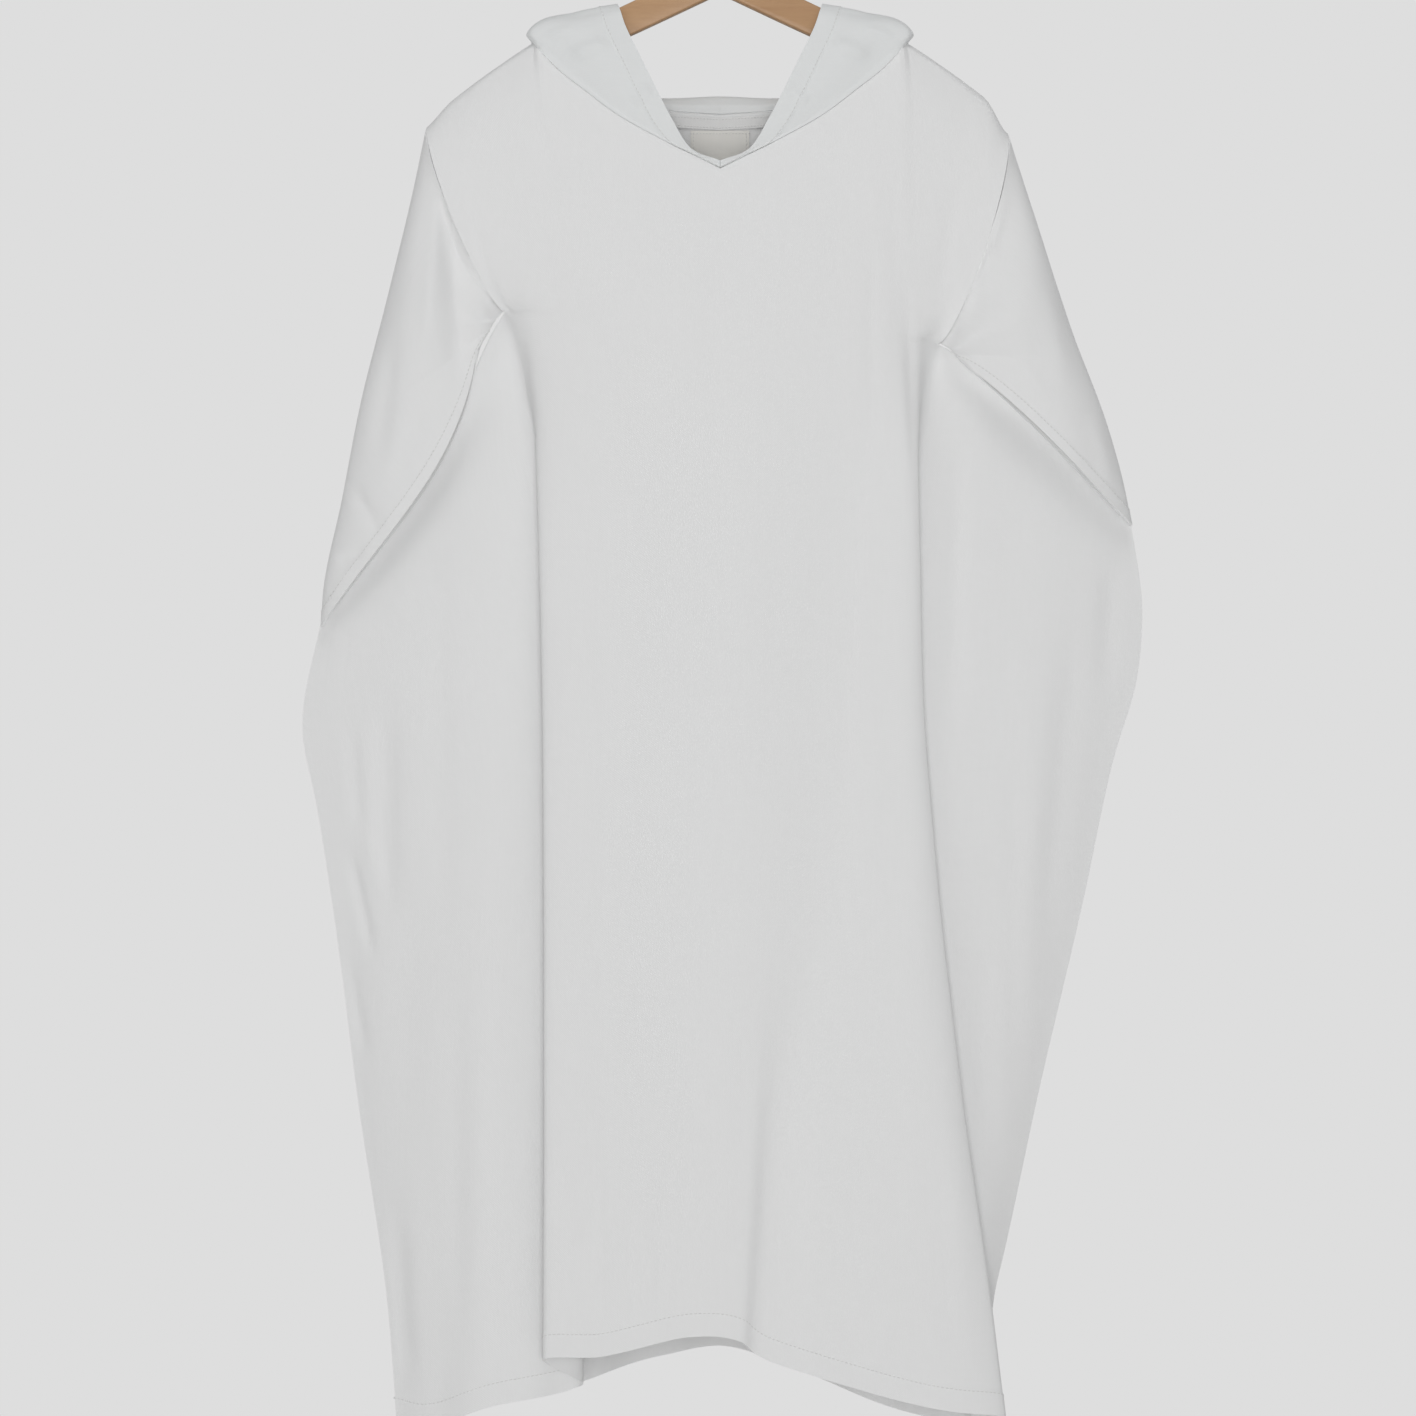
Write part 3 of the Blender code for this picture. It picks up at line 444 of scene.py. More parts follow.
def lower_rows(ribs, face):
    """A panel from the underarm down, through its ribs and both side seams."""
    curves = {0: [(x, face * LAYER, z) for x, y, z in SIDE_SEAM["left"]], **ribs,
              COLUMNS: [(x, face * LAYER, z) for x, y, z in SIDE_SEAM["right"]]}
    places = sorted(curves)
    shares = low_shares()
    rails = np.array([along(curves[place], shares) for place in places])
    columns = np.linspace(0, COLUMNS, COLUMNS * FINER + 1)
    rows = [blend(columns, places, rails[:, row]) for row in range(len(shares))]
    return keep_apart(np.array(rows), face)


def top_edge(neck, face):
    """Shoulder tip, shoulder seam, neck seam and the other shoulder."""
    halves = []
    shoulder = np.interp(np.linspace(0, 3, 3 * FINER + 1), range(4), (0, *SHOULDER_STEPS, 1))
    around = np.interp(np.linspace(0, 5, 5 * FINER + 1), range(6), (0, *NECK_STEPS))
    for side, seam in (("left", np.array(neck)), ("right", mirrored(neck))):
        tip = np.array(SHOULDER_TIP[side])
        x = tip[0] + (seam[0][0] - tip[0]) * shoulder
        lift = tip[2] - wood_top(tip[0])
        settle = smooth(shoulder, 0, SHOULDER_STEPS[0])
        z = wood_top(x) + lift + (SHOULDER_LIFT - lift) * settle
        z = z + (seam[0][2] - z[-1]) * smooth(shoulder, SHOULDER_STEPS[1], 1)
        y = np.full_like(x, face * 0.0002)
        line = np.stack([x, y, z], axis=1)
        neckline = along(seam, around)
        halves.append(np.concatenate([line[:-1], neckline]))
    return np.concatenate([halves[0], halves[1][::-1][1:]])


def coons(top, bottom, left, right, shares):
    """Rows of a patch filled between four edges; left and right run from top to bottom."""
    u = np.linspace(0, 1, len(top))[None, :, None]
    v = shares[:, None, None]
    ruled = (1 - v) * top[None] + v * bottom[None] + (1 - u) * left[:, None] + u * right[:, None]
    corners = (1 - u) * (1 - v) * top[0] + u * (1 - v) * top[-1]
    corners = corners + (1 - u) * v * bottom[0] + u * v * bottom[-1]
    rows = ruled - corners
    near_left = (1 - u[:, :, 0]) ** EDGE_FADE
    near_right = u[:, :, 0] ** EDGE_FADE
    straight = (1 - v[:, :, 0]) * top[None, :, 1] + v[:, :, 0] * bottom[None, :, 1]
    left_lift = left[:, None, 1] - straight[:, :1]
    right_lift = right[:, None, 1] - straight[:, -1:]
    rows[:, :, 1] = straight + near_left * left_lift + near_right * right_lift
    return rows


def over_wood(rows, face):
    """Round the cloth over the wood's top edge and down in front of or behind it."""
    inner = rows[1:-1, 1:-1]
    x, z = inner[:, :, 0], inner[:, :, 2]
    over = z - wood_top(x)
    dome = (WOOD_THICK / 2 + CLEAR_OVER) * np.sqrt(np.clip(1 - (over / SHOULDER_LIFT) ** 2, 0, 1))
    below = WOOD_THICK / 2 + CLEAR_OVER + (CLEAR_BESIDE - CLEAR_OVER) * smooth(-over, 0, 0.010)
    clear = np.where(over > 0, dome, below * smooth(over, -0.062, -0.028))
    clear = clear * smooth(-np.abs(x), -0.232, -0.212) * (over < SHOULDER_LIFT)
    deep = face * inner[:, :, 1]
    soft = 0.0012 * (over < 0)
    inner[:, :, 1] = face * (deep + clear + np.sqrt((deep - clear) ** 2 + soft ** 2)) / 2
    return rows


def panel_grids(ribs, neck, face, creases):
    """Upper and lower part of the front or back panel, with its folds."""
    low = lower_rows(ribs, face)
    first, last = BODY_COLUMNS[0] * FINER, BODY_COLUMNS[1] * FINER
    shares = high_shares()
    top = top_edge(neck, face)
    left = armhole("left", face, shares)
    right = armhole("right", face, shares)
    bottom = low[0][first:last + 1]
    left[0], right[0] = top[0], top[-1]
    left[-1], right[-1] = bottom[0], bottom[-1]
    high = keep_apart(coons(top, bottom, left, right, shares), face)
    high[0] = top
    over_wood(high, face)
    whole = eased_chest(np.concatenate([high, low[1:, first:last + 1]]), len(high))
    flip = -face
    shaped = shape_panel(whole, flip, creases, face)
    wings = shape_panel(low, flip, creases, face)
    wings[:, first:last + 1] = shaped[len(high) - 1:]
    for column, step in ((first, -1), (last, 1)):
        for away in range(1, 4):
            share = away / 4
            place = column + step * away
            wings[:, place] = wings[:, place] * share + (shaped[len(high) - 1:, 0 if step < 0 else -1]
                                                         + low[:, place] - low[:, column]) * (1 - share)
    return shaped[:len(high)], wings


def eased_chest(grid, joint):
    """Even out the depth of the chest and of the level where the two parts of a panel meet."""
    depth = grid[:, :, 1].copy()
    rows = np.arange(len(grid))[:, None]
    columns = np.arange(grid.shape[1])
    chest = smooth(rows, *EASED_FROM) * smooth(-rows, -joint - EASED_PAST[1], -joint - EASED_PAST[0])
    sides = smooth(np.minimum(columns, columns[::-1]), 0, EASED_SIDES)[None]
    share = chest * sides
    for turn in range(EASING_TURNS):
        even_rows = depth.copy()
        even_rows[1:-1] = (depth[:-2] + 2 * depth[1:-1] + depth[2:]) / 4
        even_both = even_rows.copy()
        even_both[:, 1:-1] = (even_rows[:, :-2] + 2 * even_rows[:, 1:-1] + even_rows[:, 2:]) / 4
        depth += (even_both - depth) * share
    grid[:, :, 1] = depth
    return grid


def shape_panel(grid, flip, creases, face):
    """Ripples and creases, held off at every edge where the panel is sewn."""
    normal = outwards(grid, flip)
    moved = rippled(creased(grid, normal, creases), normal, RIPPLE)
    rows = np.minimum(np.arange(len(grid)) / HOLD_ROWS, 1)[:, None]
    columns = np.arange(grid.shape[1])
    sides = np.minimum(np.minimum(columns, columns[::-1]) / HOLD_COLUMNS, 1)[None]
    return grid + (moved - grid) * (rows * sides)[:, :, None]


def sleeve_grid(side):
    """Short wide tube from the armhole to the hem, hanging in front of the side."""
    away = -1 if side == "left" else 1
    shares = even(SLEEVE_ROWS)
    tops = along(SLEEVE_TOP[side], shares)
    unders = along(SLEEVE_UNDER[side], shares)
    angles = np.linspace(0, 2 * math.pi, SLEEVE_RING)
    grid = []
    for t, top, under in zip(shares, tops, unders):
        forward = -SLEEVE_FORWARD * math.sin(min(1.0, t / SLEEVE_SWING) * math.pi / 2) ** 2
        depth = ARMHOLE_DEPTH + (CUFF_DEPTH - ARMHOLE_DEPTH) * min(1.0, t / SLEEVE_FLATTEN)
        bow = ARMHOLE_BOW[side] * (1 - t)
        share = (1 - np.cos(angles)) / 2
        ring = top + (under - top) * share[:, None]
        across = (under - top) / np.linalg.norm(under - top)
        below = np.array([-away * across[2], 0, away * across[0]])
        ring += below * (SLEEVE_SAG[side] * t * t * np.sin(math.pi * share ** SAG_SKEW))[:, None]
        ring[:, 0] += away * (bow * np.abs(np.sin(angles)) + ARMHOLE_GAP)
        swing = TIP_SWING + (1 - TIP_SWING) * np.sin(np.minimum(1.0, share / 0.5) * math.pi / 2)
        ring[:, 1] += forward * swing + away * depth * np.sin(angles)
        ring[-1] = ring[0]
        grid.append(ring)
    grid = np.array(grid)
    flip = -away
    normal = outwards(grid, flip)
    normal[:, 0] = normal[:, -1] = (normal[:, 0] + normal[:, -1]) / 2
    moved = rippled(creased(grid, normal, SLEEVE_CREASES[side]), normal, SLEEVE_RIPPLE)
    moved[:, -1] = moved[:, 0]
    hold = np.minimum(np.arange(len(grid)) / SLEEVE_HOLD, 1)[:, None, None]
    return grid + (moved - grid) * hold, flip


def hood_grid():
    """Right half of the fallen hood, from the neck seam to the edge of its mouth."""
    stations = np.arange(len(HOOD_RIBS[-1]))
    rows = np.linspace(0, stations[-1], HOOD_ROWS)
    rails = []
    for rib in HOOD_RIBS:
        points = rib if len(rib) == len(stations) else along(rib, even(len(stations) - 1))
        rails.append(blend(rows, stations, points))
    rails = np.array(rails)
    around = even(HOOD_COLUMNS) * (len(rails) - 1)
    grid = np.array([blend(around, np.arange(len(rails)), rails[:, row]) for row in range(len(rows))])
    steps = even(SEAM_STEPS)
    seam = mirrored(np.concatenate([along(NECK_FRONT, steps), along(NECK_BACK, steps)]))
    for column in range(grid.shape[1]):
        start = grid[0, column].copy()
        rise = grid[HOOD_RISE_ROW, column] - start
        nearest = seam[np.argmin(np.linalg.norm(seam - start, axis=1))]
        shift = nearest + rise / np.linalg.norm(rise) * HOOD_LIFT - start
        grid[:, column] += shift * (1 - rows[:, None] / stations[-1])
    grid[:, :, 0] = np.maximum(grid[:, :, 0], MIDDLE_GAP)
    normal = outwards(grid, 1)
    moved = creased(grid, normal, HOOD_CREASES)
    columns = np.arange(grid.shape[1])
    hold = np.minimum(np.minimum(columns, columns[::-1]) / HOOD_HOLD, 1)[None, :, None]
    full = normal * (HOOD_FULL * smooth(rows, 0, 0.8))[:, None, None]
    grid = grid + (moved - grid) * hold + full
    grid[:, :, 0] = np.maximum(grid[:, :, 0], MIDDLE_GAP)
    grid[:, (0, -1), 0] = MIDDLE_GAP
    return grid


# ---- meshes ---------------------------------------------------------------


def link(name, mesh):
    """Put a mesh in the scene under its own name, at the origin."""
    made = bpy.data.objects.new(name, mesh)
    bpy.context.scene.collection.objects.link(made)
    return made


def settled(made):
    """Replace an object by the plain mesh that its modifiers give."""
    bpy.context.view_layer.update()
    name = made.name
    ready = made.evaluated_get(bpy.context.evaluated_depsgraph_get())
    mesh = bpy.data.meshes.new_from_object(ready)
    bpy.data.objects.remove(made)
    mesh.name = name
    return link(name, mesh)


def cloth(name, patches, finish, single=CLOTH, hem=HEM, hem_depth=0.0):
    """A wall over grids that share edge points, thicker where its hem is turned up."""
    shell = bmesh.new()
    surface = shell.loops.layers.uv.new("UVMap")
    weights = shell.verts.layers.deform.verify()
    for grid, hemmed in patches:
        middle = grid.shape[1] // 2
        steps = np.linalg.norm(np.diff(grid, axis=1), axis=2)
        across = np.concatenate([np.zeros((len(grid), 1)), np.cumsum(steps, axis=1)], axis=1)
        across = across - across[:, middle:middle + 1]
        down = to_hem(grid)
        points = []
        for row in range(len(grid)):
            line = []
            for column in range(grid.shape[1]):
                vert = shell.verts.new(grid[row, column])
                doubled = hemmed and down[row, column] < hem_depth
                vert[weights][0] = 1.0 if doubled else single / hem
                line.append(vert)
            points.append(line)
        for row in range(len(points) - 1):
            for column in range(grid.shape[1] - 1):
                corners = [(row, column), (row + 1, column), (row + 1, column + 1), (row, column + 1)]
                face = shell.faces.new([points[r][c] for r, c in corners])
                for loop, (r, c) in zip(face.loops, corners):
                    loop[surface].uv = (across[r, c], down[r, c])
    bmesh.ops.remove_doubles(shell, verts=shell.verts, dist=1e-5)
    mesh = bpy.data.meshes.new(name)
    shell.to_mesh(mesh)
    shell.free()
    made = link(name, mesh)
    made.vertex_groups.new(name="layers")
    wall = made.modifiers.new("wall", "SOLIDIFY")
    wall.thickness = hem
    wall.offset = 0
    wall.vertex_group = "layers"
    made = settled(made)
    made.vertex_groups.clear()
    made.data.shade_smooth()
    made.data.set_sharp_from_angle(angle=math.radians(60))
    made.data.materials.clear()
    made.data.materials.append(finish)
    return made


def line_above_hem(grid, normal, distance, lift):
    """Points of a line at one distance above the hem, lifted off the surface."""
    down = to_hem(grid)
    line = []
    for column in range(grid.shape[1]):
        heights = down[::-1, column]
        point = [np.interp(distance, heights, grid[::-1, column, axis]) for axis in range(3)]
        off = [np.interp(distance, heights, normal[::-1, column, axis]) for axis in range(3)]
        line.append(np.array(point) + np.array(off) * lift)
    return np.array(line)


# ---- Geometry Nodes: runs of stitches -------------------------------------


def stitch_tree():
    """Stitches set end to end along a line, with the length, gap and thread as inputs."""
    tree = bpy.data.node_groups.new("run of stitches", "GeometryNodeTree")
    face = tree.interface
    face.new_socket("Line", in_out="INPUT", socket_type="NodeSocketGeometry")
    for name in ("Stitch length", "Gap", "Thread radius"):
        face.new_socket(name, in_out="INPUT", socket_type="NodeSocketFloat")
    face.new_socket("Thread", in_out="INPUT", socket_type="NodeSocketMaterial")
    face.new_socket("Stitches", in_out="OUTPUT", socket_type="NodeSocketGeometry")
    new = tree.nodes.new
    join = tree.links.new
    given = new("NodeGroupInput")
    result = new("NodeGroupOutput")
    pitch = maths(tree, "ADD", given.outputs["Stitch length"], given.outputs["Gap"])
    places = new("GeometryNodeCurveToPoints")
    places.mode = "LENGTH"
    join(given.outputs["Line"], places.inputs["Curve"])
    join(pitch, places.inputs["Length"])
    turned = new("FunctionNodeAlignRotationToVector")
    turned.axis = "Z"
    join(places.outputs["Tangent"], turned.inputs["Vector"])
    bead = new("GeometryNodeMeshUVSphere")
    bead.inputs["Segments"].default_value = 6
    bead.inputs["Rings"].default_value = 4
    bead.inputs["Radius"].default_value = 1.0
    half = maths(tree, "MULTIPLY", given.outputs["Stitch length"], 0.5)
    size = new("ShaderNodeCombineXYZ")
    join(given.outputs["Thread radius"], size.inputs["X"])
    join(given.outputs["Thread radius"], size.inputs["Y"])
    join(half, size.inputs["Z"])
    thread = new("GeometryNodeTransform")
    join(bead.outputs["Mesh"], thread.inputs["Geometry"])
    join(size.outputs[0], thread.inputs["Scale"])
    sewn = new("GeometryNodeInstanceOnPoints")
    join(places.outputs["Points"], sewn.inputs["Points"])
    join(thread.outputs["Geometry"], sewn.inputs["Instance"])
    join(turned.outputs["Rotation"], sewn.inputs["Rotation"])
    real = new("GeometryNodeRealizeInstances")
    join(sewn.outputs["Instances"], real.inputs["Geometry"])
    coloured = new("GeometryNodeSetMaterial")
    join(real.outputs["Geometry"], coloured.inputs["Geometry"])
    join(given.outputs["Thread"], coloured.inputs["Material"])
    join(coloured.outputs["Geometry"], result.inputs["Stitches"])
    return tree


def socket_of(tree, name):
    """Identifier of a tree's input of that name."""
    return next(item.identifier for item in tree.interface.items_tree
                if item.name == name and item.in_out == "INPUT")


def stitches(name, lines, finish, length=STITCH, gap=STITCH_GAP, radius=THREAD):
    """One mesh of all the stitches along several lines."""
    curve = bpy.data.curves.new(name, "CURVE")
    curve.dimensions = "3D"
    for line in lines:
        spline = curve.splines.new("POLY")
        spline.points.add(len(line) - 1)
        for point, place in zip(spline.points, line):
            point.co = (*place, 1)
    made = bpy.data.objects.new(name, curve)
    bpy.context.scene.collection.objects.link(made)
    tree = bpy.data.node_groups["run of stitches"]
    sewing = made.modifiers.new("sewing", "NODES")
    sewing.node_group = tree
    sewing[socket_of(tree, "Stitch length")] = length
    sewing[socket_of(tree, "Gap")] = gap
    sewing[socket_of(tree, "Thread radius")] = radius
    sewing[socket_of(tree, "Thread")] = finish
    made = settled(made)
    made.data.shade_smooth()
    return made


# ---- materials ------------------------------------------------------------


def group(name, inputs, outputs):
    """Empty shader group with named inputs and outputs."""
    tree = bpy.data.node_groups.new(name, "ShaderNodeTree")
    for label, kind, value in inputs:
        socket = tree.interface.new_socket(label, in_out="INPUT", socket_type=kind)
        if value is not None:
            socket.default_value = value
    for label, kind in outputs:
        tree.interface.new_socket(label, in_out="OUTPUT", socket_type=kind)
    return tree, tree.nodes.new("NodeGroupInput"), tree.nodes.new("NodeGroupOutput")


def maths(tree, operation, first, second):
    """Math node of two sockets or numbers; returns its output."""
    node = tree.nodes.new("ShaderNodeMath")
    node.operation = operation
    for socket, value in zip(node.inputs, (first, second)):
        if isinstance(value, (int, float)):
            socket.default_value = value
        else:
            tree.links.new(value, socket)
    return node.outputs[0]


def noise(tree, place, scale, detail, stretch=(1, 1, 1)):
    """Noise of a place that is stretched first; returns its value."""
    spread = tree.nodes.new("ShaderNodeMapping")
    spread.inputs["Scale"].default_value = stretch
    tree.links.new(place, spread.inputs["Vector"])
    made = tree.nodes.new("ShaderNodeTexNoise")
    made.inputs["Scale"].default_value = scale
    made.inputs["Detail"].default_value = detail
    tree.links.new(spread.outputs[0], made.inputs["Vector"])
    return made.outputs[0]


def weave_group():
    """Plain weave with uneven threads and soft crumples: a height and a tint."""
    tree, given, result = group(
        "woven cloth",
        [("Place", "NodeSocketVector", None), ("Thread", "NodeSocketFloat", 0.0009),
         ("Weave depth", "NodeSocketFloat", 0.00005), ("Crumple depth", "NodeSocketFloat", 0.0008)],
        [("Height", "NodeSocketFloat"), ("Tint", "NodeSocketFloat")])
    place = given.outputs["Place"]
    parts = tree.nodes.new("ShaderNodeSeparateXYZ")
    tree.links.new(place, parts.inputs[0])
    turn = maths(tree, "DIVIDE", math.pi, given.outputs["Thread"])
    warp = maths(tree, "SINE", maths(tree, "MULTIPLY", parts.outputs["X"], turn), 0)
    weft = maths(tree, "SINE", maths(tree, "MULTIPLY", parts.outputs["Y"], turn), 0)
    over = maths(tree, "MULTIPLY", warp, weft)
    slub = noise(tree, place, 420, 2, (1, 0.06, 1))
    uneven = maths(tree, "ADD", over, maths(tree, "MULTIPLY", slub, 1.4))
    woven = maths(tree, "MULTIPLY", uneven, given.outputs["Weave depth"])
    folds = noise(tree, place, 26, 3, (1, 0.22, 1))
    soft = noise(tree, place, 9, 2)
    crumple = maths(tree, "MULTIPLY", maths(tree, "ADD", folds, soft), given.outputs["Crumple depth"])
    tree.links.new(maths(tree, "ADD", woven, crumple), result.inputs["Height"])
    shade = maths(tree, "ADD", maths(tree, "MULTIPLY", over, 0.05), maths(tree, "MULTIPLY", slub, 0.5))
    shade = maths(tree, "ADD", shade, maths(tree, "MULTIPLY", noise(tree, place, 4, 3), 0.5))
    tree.links.new(shade, result.inputs["Tint"])
    return tree


def material(name, roughness, metallic=0.0, specular=0.5):
    """Principled material; returns it with its tree and its shader."""
    made = bpy.data.materials.new(name)
    made.use_nodes = True
    shader = made.node_tree.nodes["Principled BSDF"]
    shader.inputs["Roughness"].default_value = roughness
    shader.inputs["Metallic"].default_value = metallic
    shader.inputs["Specular IOR Level"].default_value = specular
    return made, made.node_tree, shader


def bump(tree, shader, height):
    """Bump whose height is in metres."""
    node = tree.nodes.new("ShaderNodeBump")
    node.inputs["Distance"].default_value = 1.0
    tree.links.new(height, node.inputs["Height"])
    tree.links.new(node.outputs["Normal"], shader.inputs["Normal"])


def between(tree, factor, dark, light):
    """Colour between two, by a factor; returns its output."""
    mix = tree.nodes.new("ShaderNodeMix")
    mix.data_type = "RGBA"
    tree.links.new(factor, mix.inputs["Factor"])
    mix.inputs["A"].default_value = (*dark, 1)
    mix.inputs["B"].default_value = (*light, 1)
    return mix.outputs["Result"]


def cloth_finish(name, dark, light, thread, weave, crumple, sheen=0.25, roughness=0.92):
    """White cloth: the woven group on the piece's own surface."""
    made, tree, shader = material(name, roughness, specular=0.15)
    surface = tree.nodes.new("ShaderNodeTexCoord")
    woven = tree.nodes.new("ShaderNodeGroup")
    woven.node_tree = bpy.data.node_groups["woven cloth"]
    woven.inputs["Thread"].default_value = thread
    woven.inputs["Weave depth"].default_value = weave
    woven.inputs["Crumple depth"].default_value = crumple
    tree.links.new(surface.outputs["UV"], woven.inputs["Place"])
    tree.links.new(between(tree, woven.outputs["Tint"], dark, light), shader.inputs["Base Color"])
    bump(tree, shader, woven.outputs["Height"])
    shader.inputs["Sheen Weight"].default_value = sheen
    shader.inputs["Sheen Roughness"].default_value = 0.6
    return made


def thread_finish():
    """Cotton sewing thread with a twist, coloured grey: partly the thread's own tone, partly painted
    shade that makes each run of stitches read as a dark seam line.
    """
    made, tree, shader = material("sewing thread", 0.7, specular=0.3)
    place = tree.nodes.new("ShaderNodeTexCoord").outputs["Object"]
    twist = noise(tree, place, 2600, 1)
    # painted shade: the thread's grey, darker than the white cloth, stands in for the shadow along the
    # seams and hems
    white = between(tree, twist, (0.70, 0.70, 0.69), (0.84, 0.84, 0.83))
    tree.links.new(white, shader.inputs["Base Color"])
    bump(tree, shader, maths(tree, "MULTIPLY", twist, 0.0001))
    return made


def beech_finish():
    """Light beech: long grain, short flecks and a clear satin varnish."""
    made, tree, shader = material("beech", 0.42)
    place = tree.nodes.new("ShaderNodeTexCoord").outputs["Object"]
    grain = noise(tree, place, 90, 5, (0.10, 1, 1))
    flecks = noise(tree, place, 700, 2, (0.12, 1, 1))
    bands = noise(tree, place, 16, 2, (0.35, 1, 1))
    share = maths(tree, "ADD", maths(tree, "MULTIPLY", grain, 0.7), maths(tree, "MULTIPLY", bands, 0.5))
    share = maths(tree, "SUBTRACT", share, maths(tree, "MULTIPLY", flecks, 0.22))
    brown = between(tree, share, (0.40, 0.21, 0.095), (0.66, 0.42, 0.23))
    tree.links.new(brown, shader.inputs["Base Color"])
    rough = maths(tree, "ADD", maths(tree, "MULTIPLY", flecks, 0.15), 0.36)
    tree.links.new(rough, shader.inputs["Roughness"])
    shader.inputs["Coat Weight"].default_value = 0.2
    shader.inputs["Coat Roughness"].default_value = 0.25
    bump(tree, shader, maths(tree, "MULTIPLY", flecks, 0.00006))
    return made


def steel_finish():
    """Bright drawn wire with faint draw marks."""
    made, tree, shader = material("bright steel", 0.2, metallic=1.0)
    place = tree.nodes.new("ShaderNodeTexCoord").outputs["Object"]
    marks = noise(tree, place, 1800, 2)
    grey = between(tree, marks, (0.60, 0.60, 0.61), (0.76, 0.76, 0.76))
    tree.links.new(grey, shader.inputs["Base Color"])
    rough = maths(tree, "ADD", maths(tree, "MULTIPLY", marks, 0.14), 0.15)
    tree.links.new(rough, shader.inputs["Roughness"])
    bump(tree, shader, maths(tree, "MULTIPLY", marks, 0.00002))
    return made


# ---- the pieces -----------------------------------------------------------


def make_panels(finish, thread):
    """Front and back panels and the stitches of their hems."""
    made = {}
    hem_lines = []
    for name, ribs, neck, face, creases in (("front_panel", FRONT_RIBS, NECK_FRONT, -1, FRONT_CREASES),
                                            ("back_panel", BACK_RIBS, NECK_BACK, 1, BACK_CREASES)):
        high, low = panel_grids(ribs, neck, face, creases)
        piece = cloth(name + "_cloth", [(high, False), (low, True)], finish, hem_depth=BODY_HEM)
        made[name] = (piece, high)
        normal = outwards(low, -face)
        for lift in (HEM / 2, -HEM / 2):
            hem_lines.append(line_above_hem(low, normal, BODY_HEM - 0.0015, lift))
    sewn = stitches("hem_stitches", hem_lines, thread)
    return made, sewn


def make_sleeves(finish, thread):
    """Both sleeves and the stitches of their hems."""
    made = {}
    for side in ("left", "right"):
        grid, flip = sleeve_grid(side)
        piece = cloth("sleeve_" + side + "_cloth", [(grid, True)], finish, hem_depth=SLEEVE_HEM)
        normal = outwards(grid, flip)
        lines = [line_above_hem(grid, normal, SLEEVE_HEM - 0.0012, lift) for lift in (HEM / 2, -HEM / 2)]
        made[side] = (piece, stitches("sleeve_" + side + "_stitches", lines, thread))
    return made


def make_hood(finish, thread):
    """Both halves of the hood and the stitches of its mouth."""
    made = {}
    right = hood_grid()
    for side, grid, flip in (("left", mirrored(right), -1), ("right", right, 1)):
        piece = cloth("hood_" + side + "_cloth", [(grid, True)], finish, hem_depth=MOUTH_HEM)
        normal = outwards(grid, flip)
        lines = [line_above_hem(grid, normal, MOUTH_HEM - 0.0012, lift) for lift in (HEM / 2, -HEM / 2)]
        made[side] = (piece, stitches("hood_" + side + "_stitches", lines, thread))
    return made


def panel_depth(rows, x, z):
    """Depth of a panel's surface at a place seen from the front."""
    depths = [np.interp(x, row[:, 0], row[:, 1]) for row in rows]
    heights = [np.interp(x, row[:, 0], row[:, 2]) for row in rows]
    return np.interp(-z, [-height for height in heights], depths)


def make_neck_trim(rows, tape_finish, label_finish, thread):
    """Tape along the back neck seam, and the blank label sewn below it."""
    tape = []
    xs = np.linspace(-TAPE_REACH, TAPE_REACH, 81)
    for drop in TAPE_DROP + TAPE_HEIGHT * even(6):
        line = []
        for x in xs:
            z = np.interp(x, rows[0][:, 0], rows[0][:, 2]) - drop
            line.append((x, panel_depth(rows, x, z) - INSIDE, z))
        tape.append(line)
    tape = np.array(tape)
    tape_piece = cloth("neck_tape_cloth", [(tape, False)], tape_finish, TAPE_THICK, TAPE_THICK)
    top = tape[-1][len(xs) // 2][2] - 0.0003
    label = []
    for share in even(22):
        z = top - LABEL_HEIGHT * share
        line = []
        for x in np.linspace(-LABEL_WIDTH / 2, LABEL_WIDTH / 2, 41):
            curl = 0.0009 * smooth(share, 0.55, 1) * (1 + 0.6 * math.cos(130 * x))
            line.append((x, panel_depth(rows, x, z) - INSIDE - curl, z))
        label.append(line)
    label = np.array(label)
    label_piece = cloth("neck_label_cloth", [(label, False)], label_finish, LABEL_THICK, LABEL_THICK)
    off = np.array([0, -TAPE_THICK / 2 - 0.0001, 0])
    lines = [tape[1] + off, tape[-2] + off, label[2] + off, label[-3] + off, label[2:-2, 2] + off,
             label[2:-2, -3] + off]
    sewn = stitches("neck_trim_stitches", lines, thread, 0.0018, 0.0008, 0.00022)
    return tape_piece, label_piece, sewn


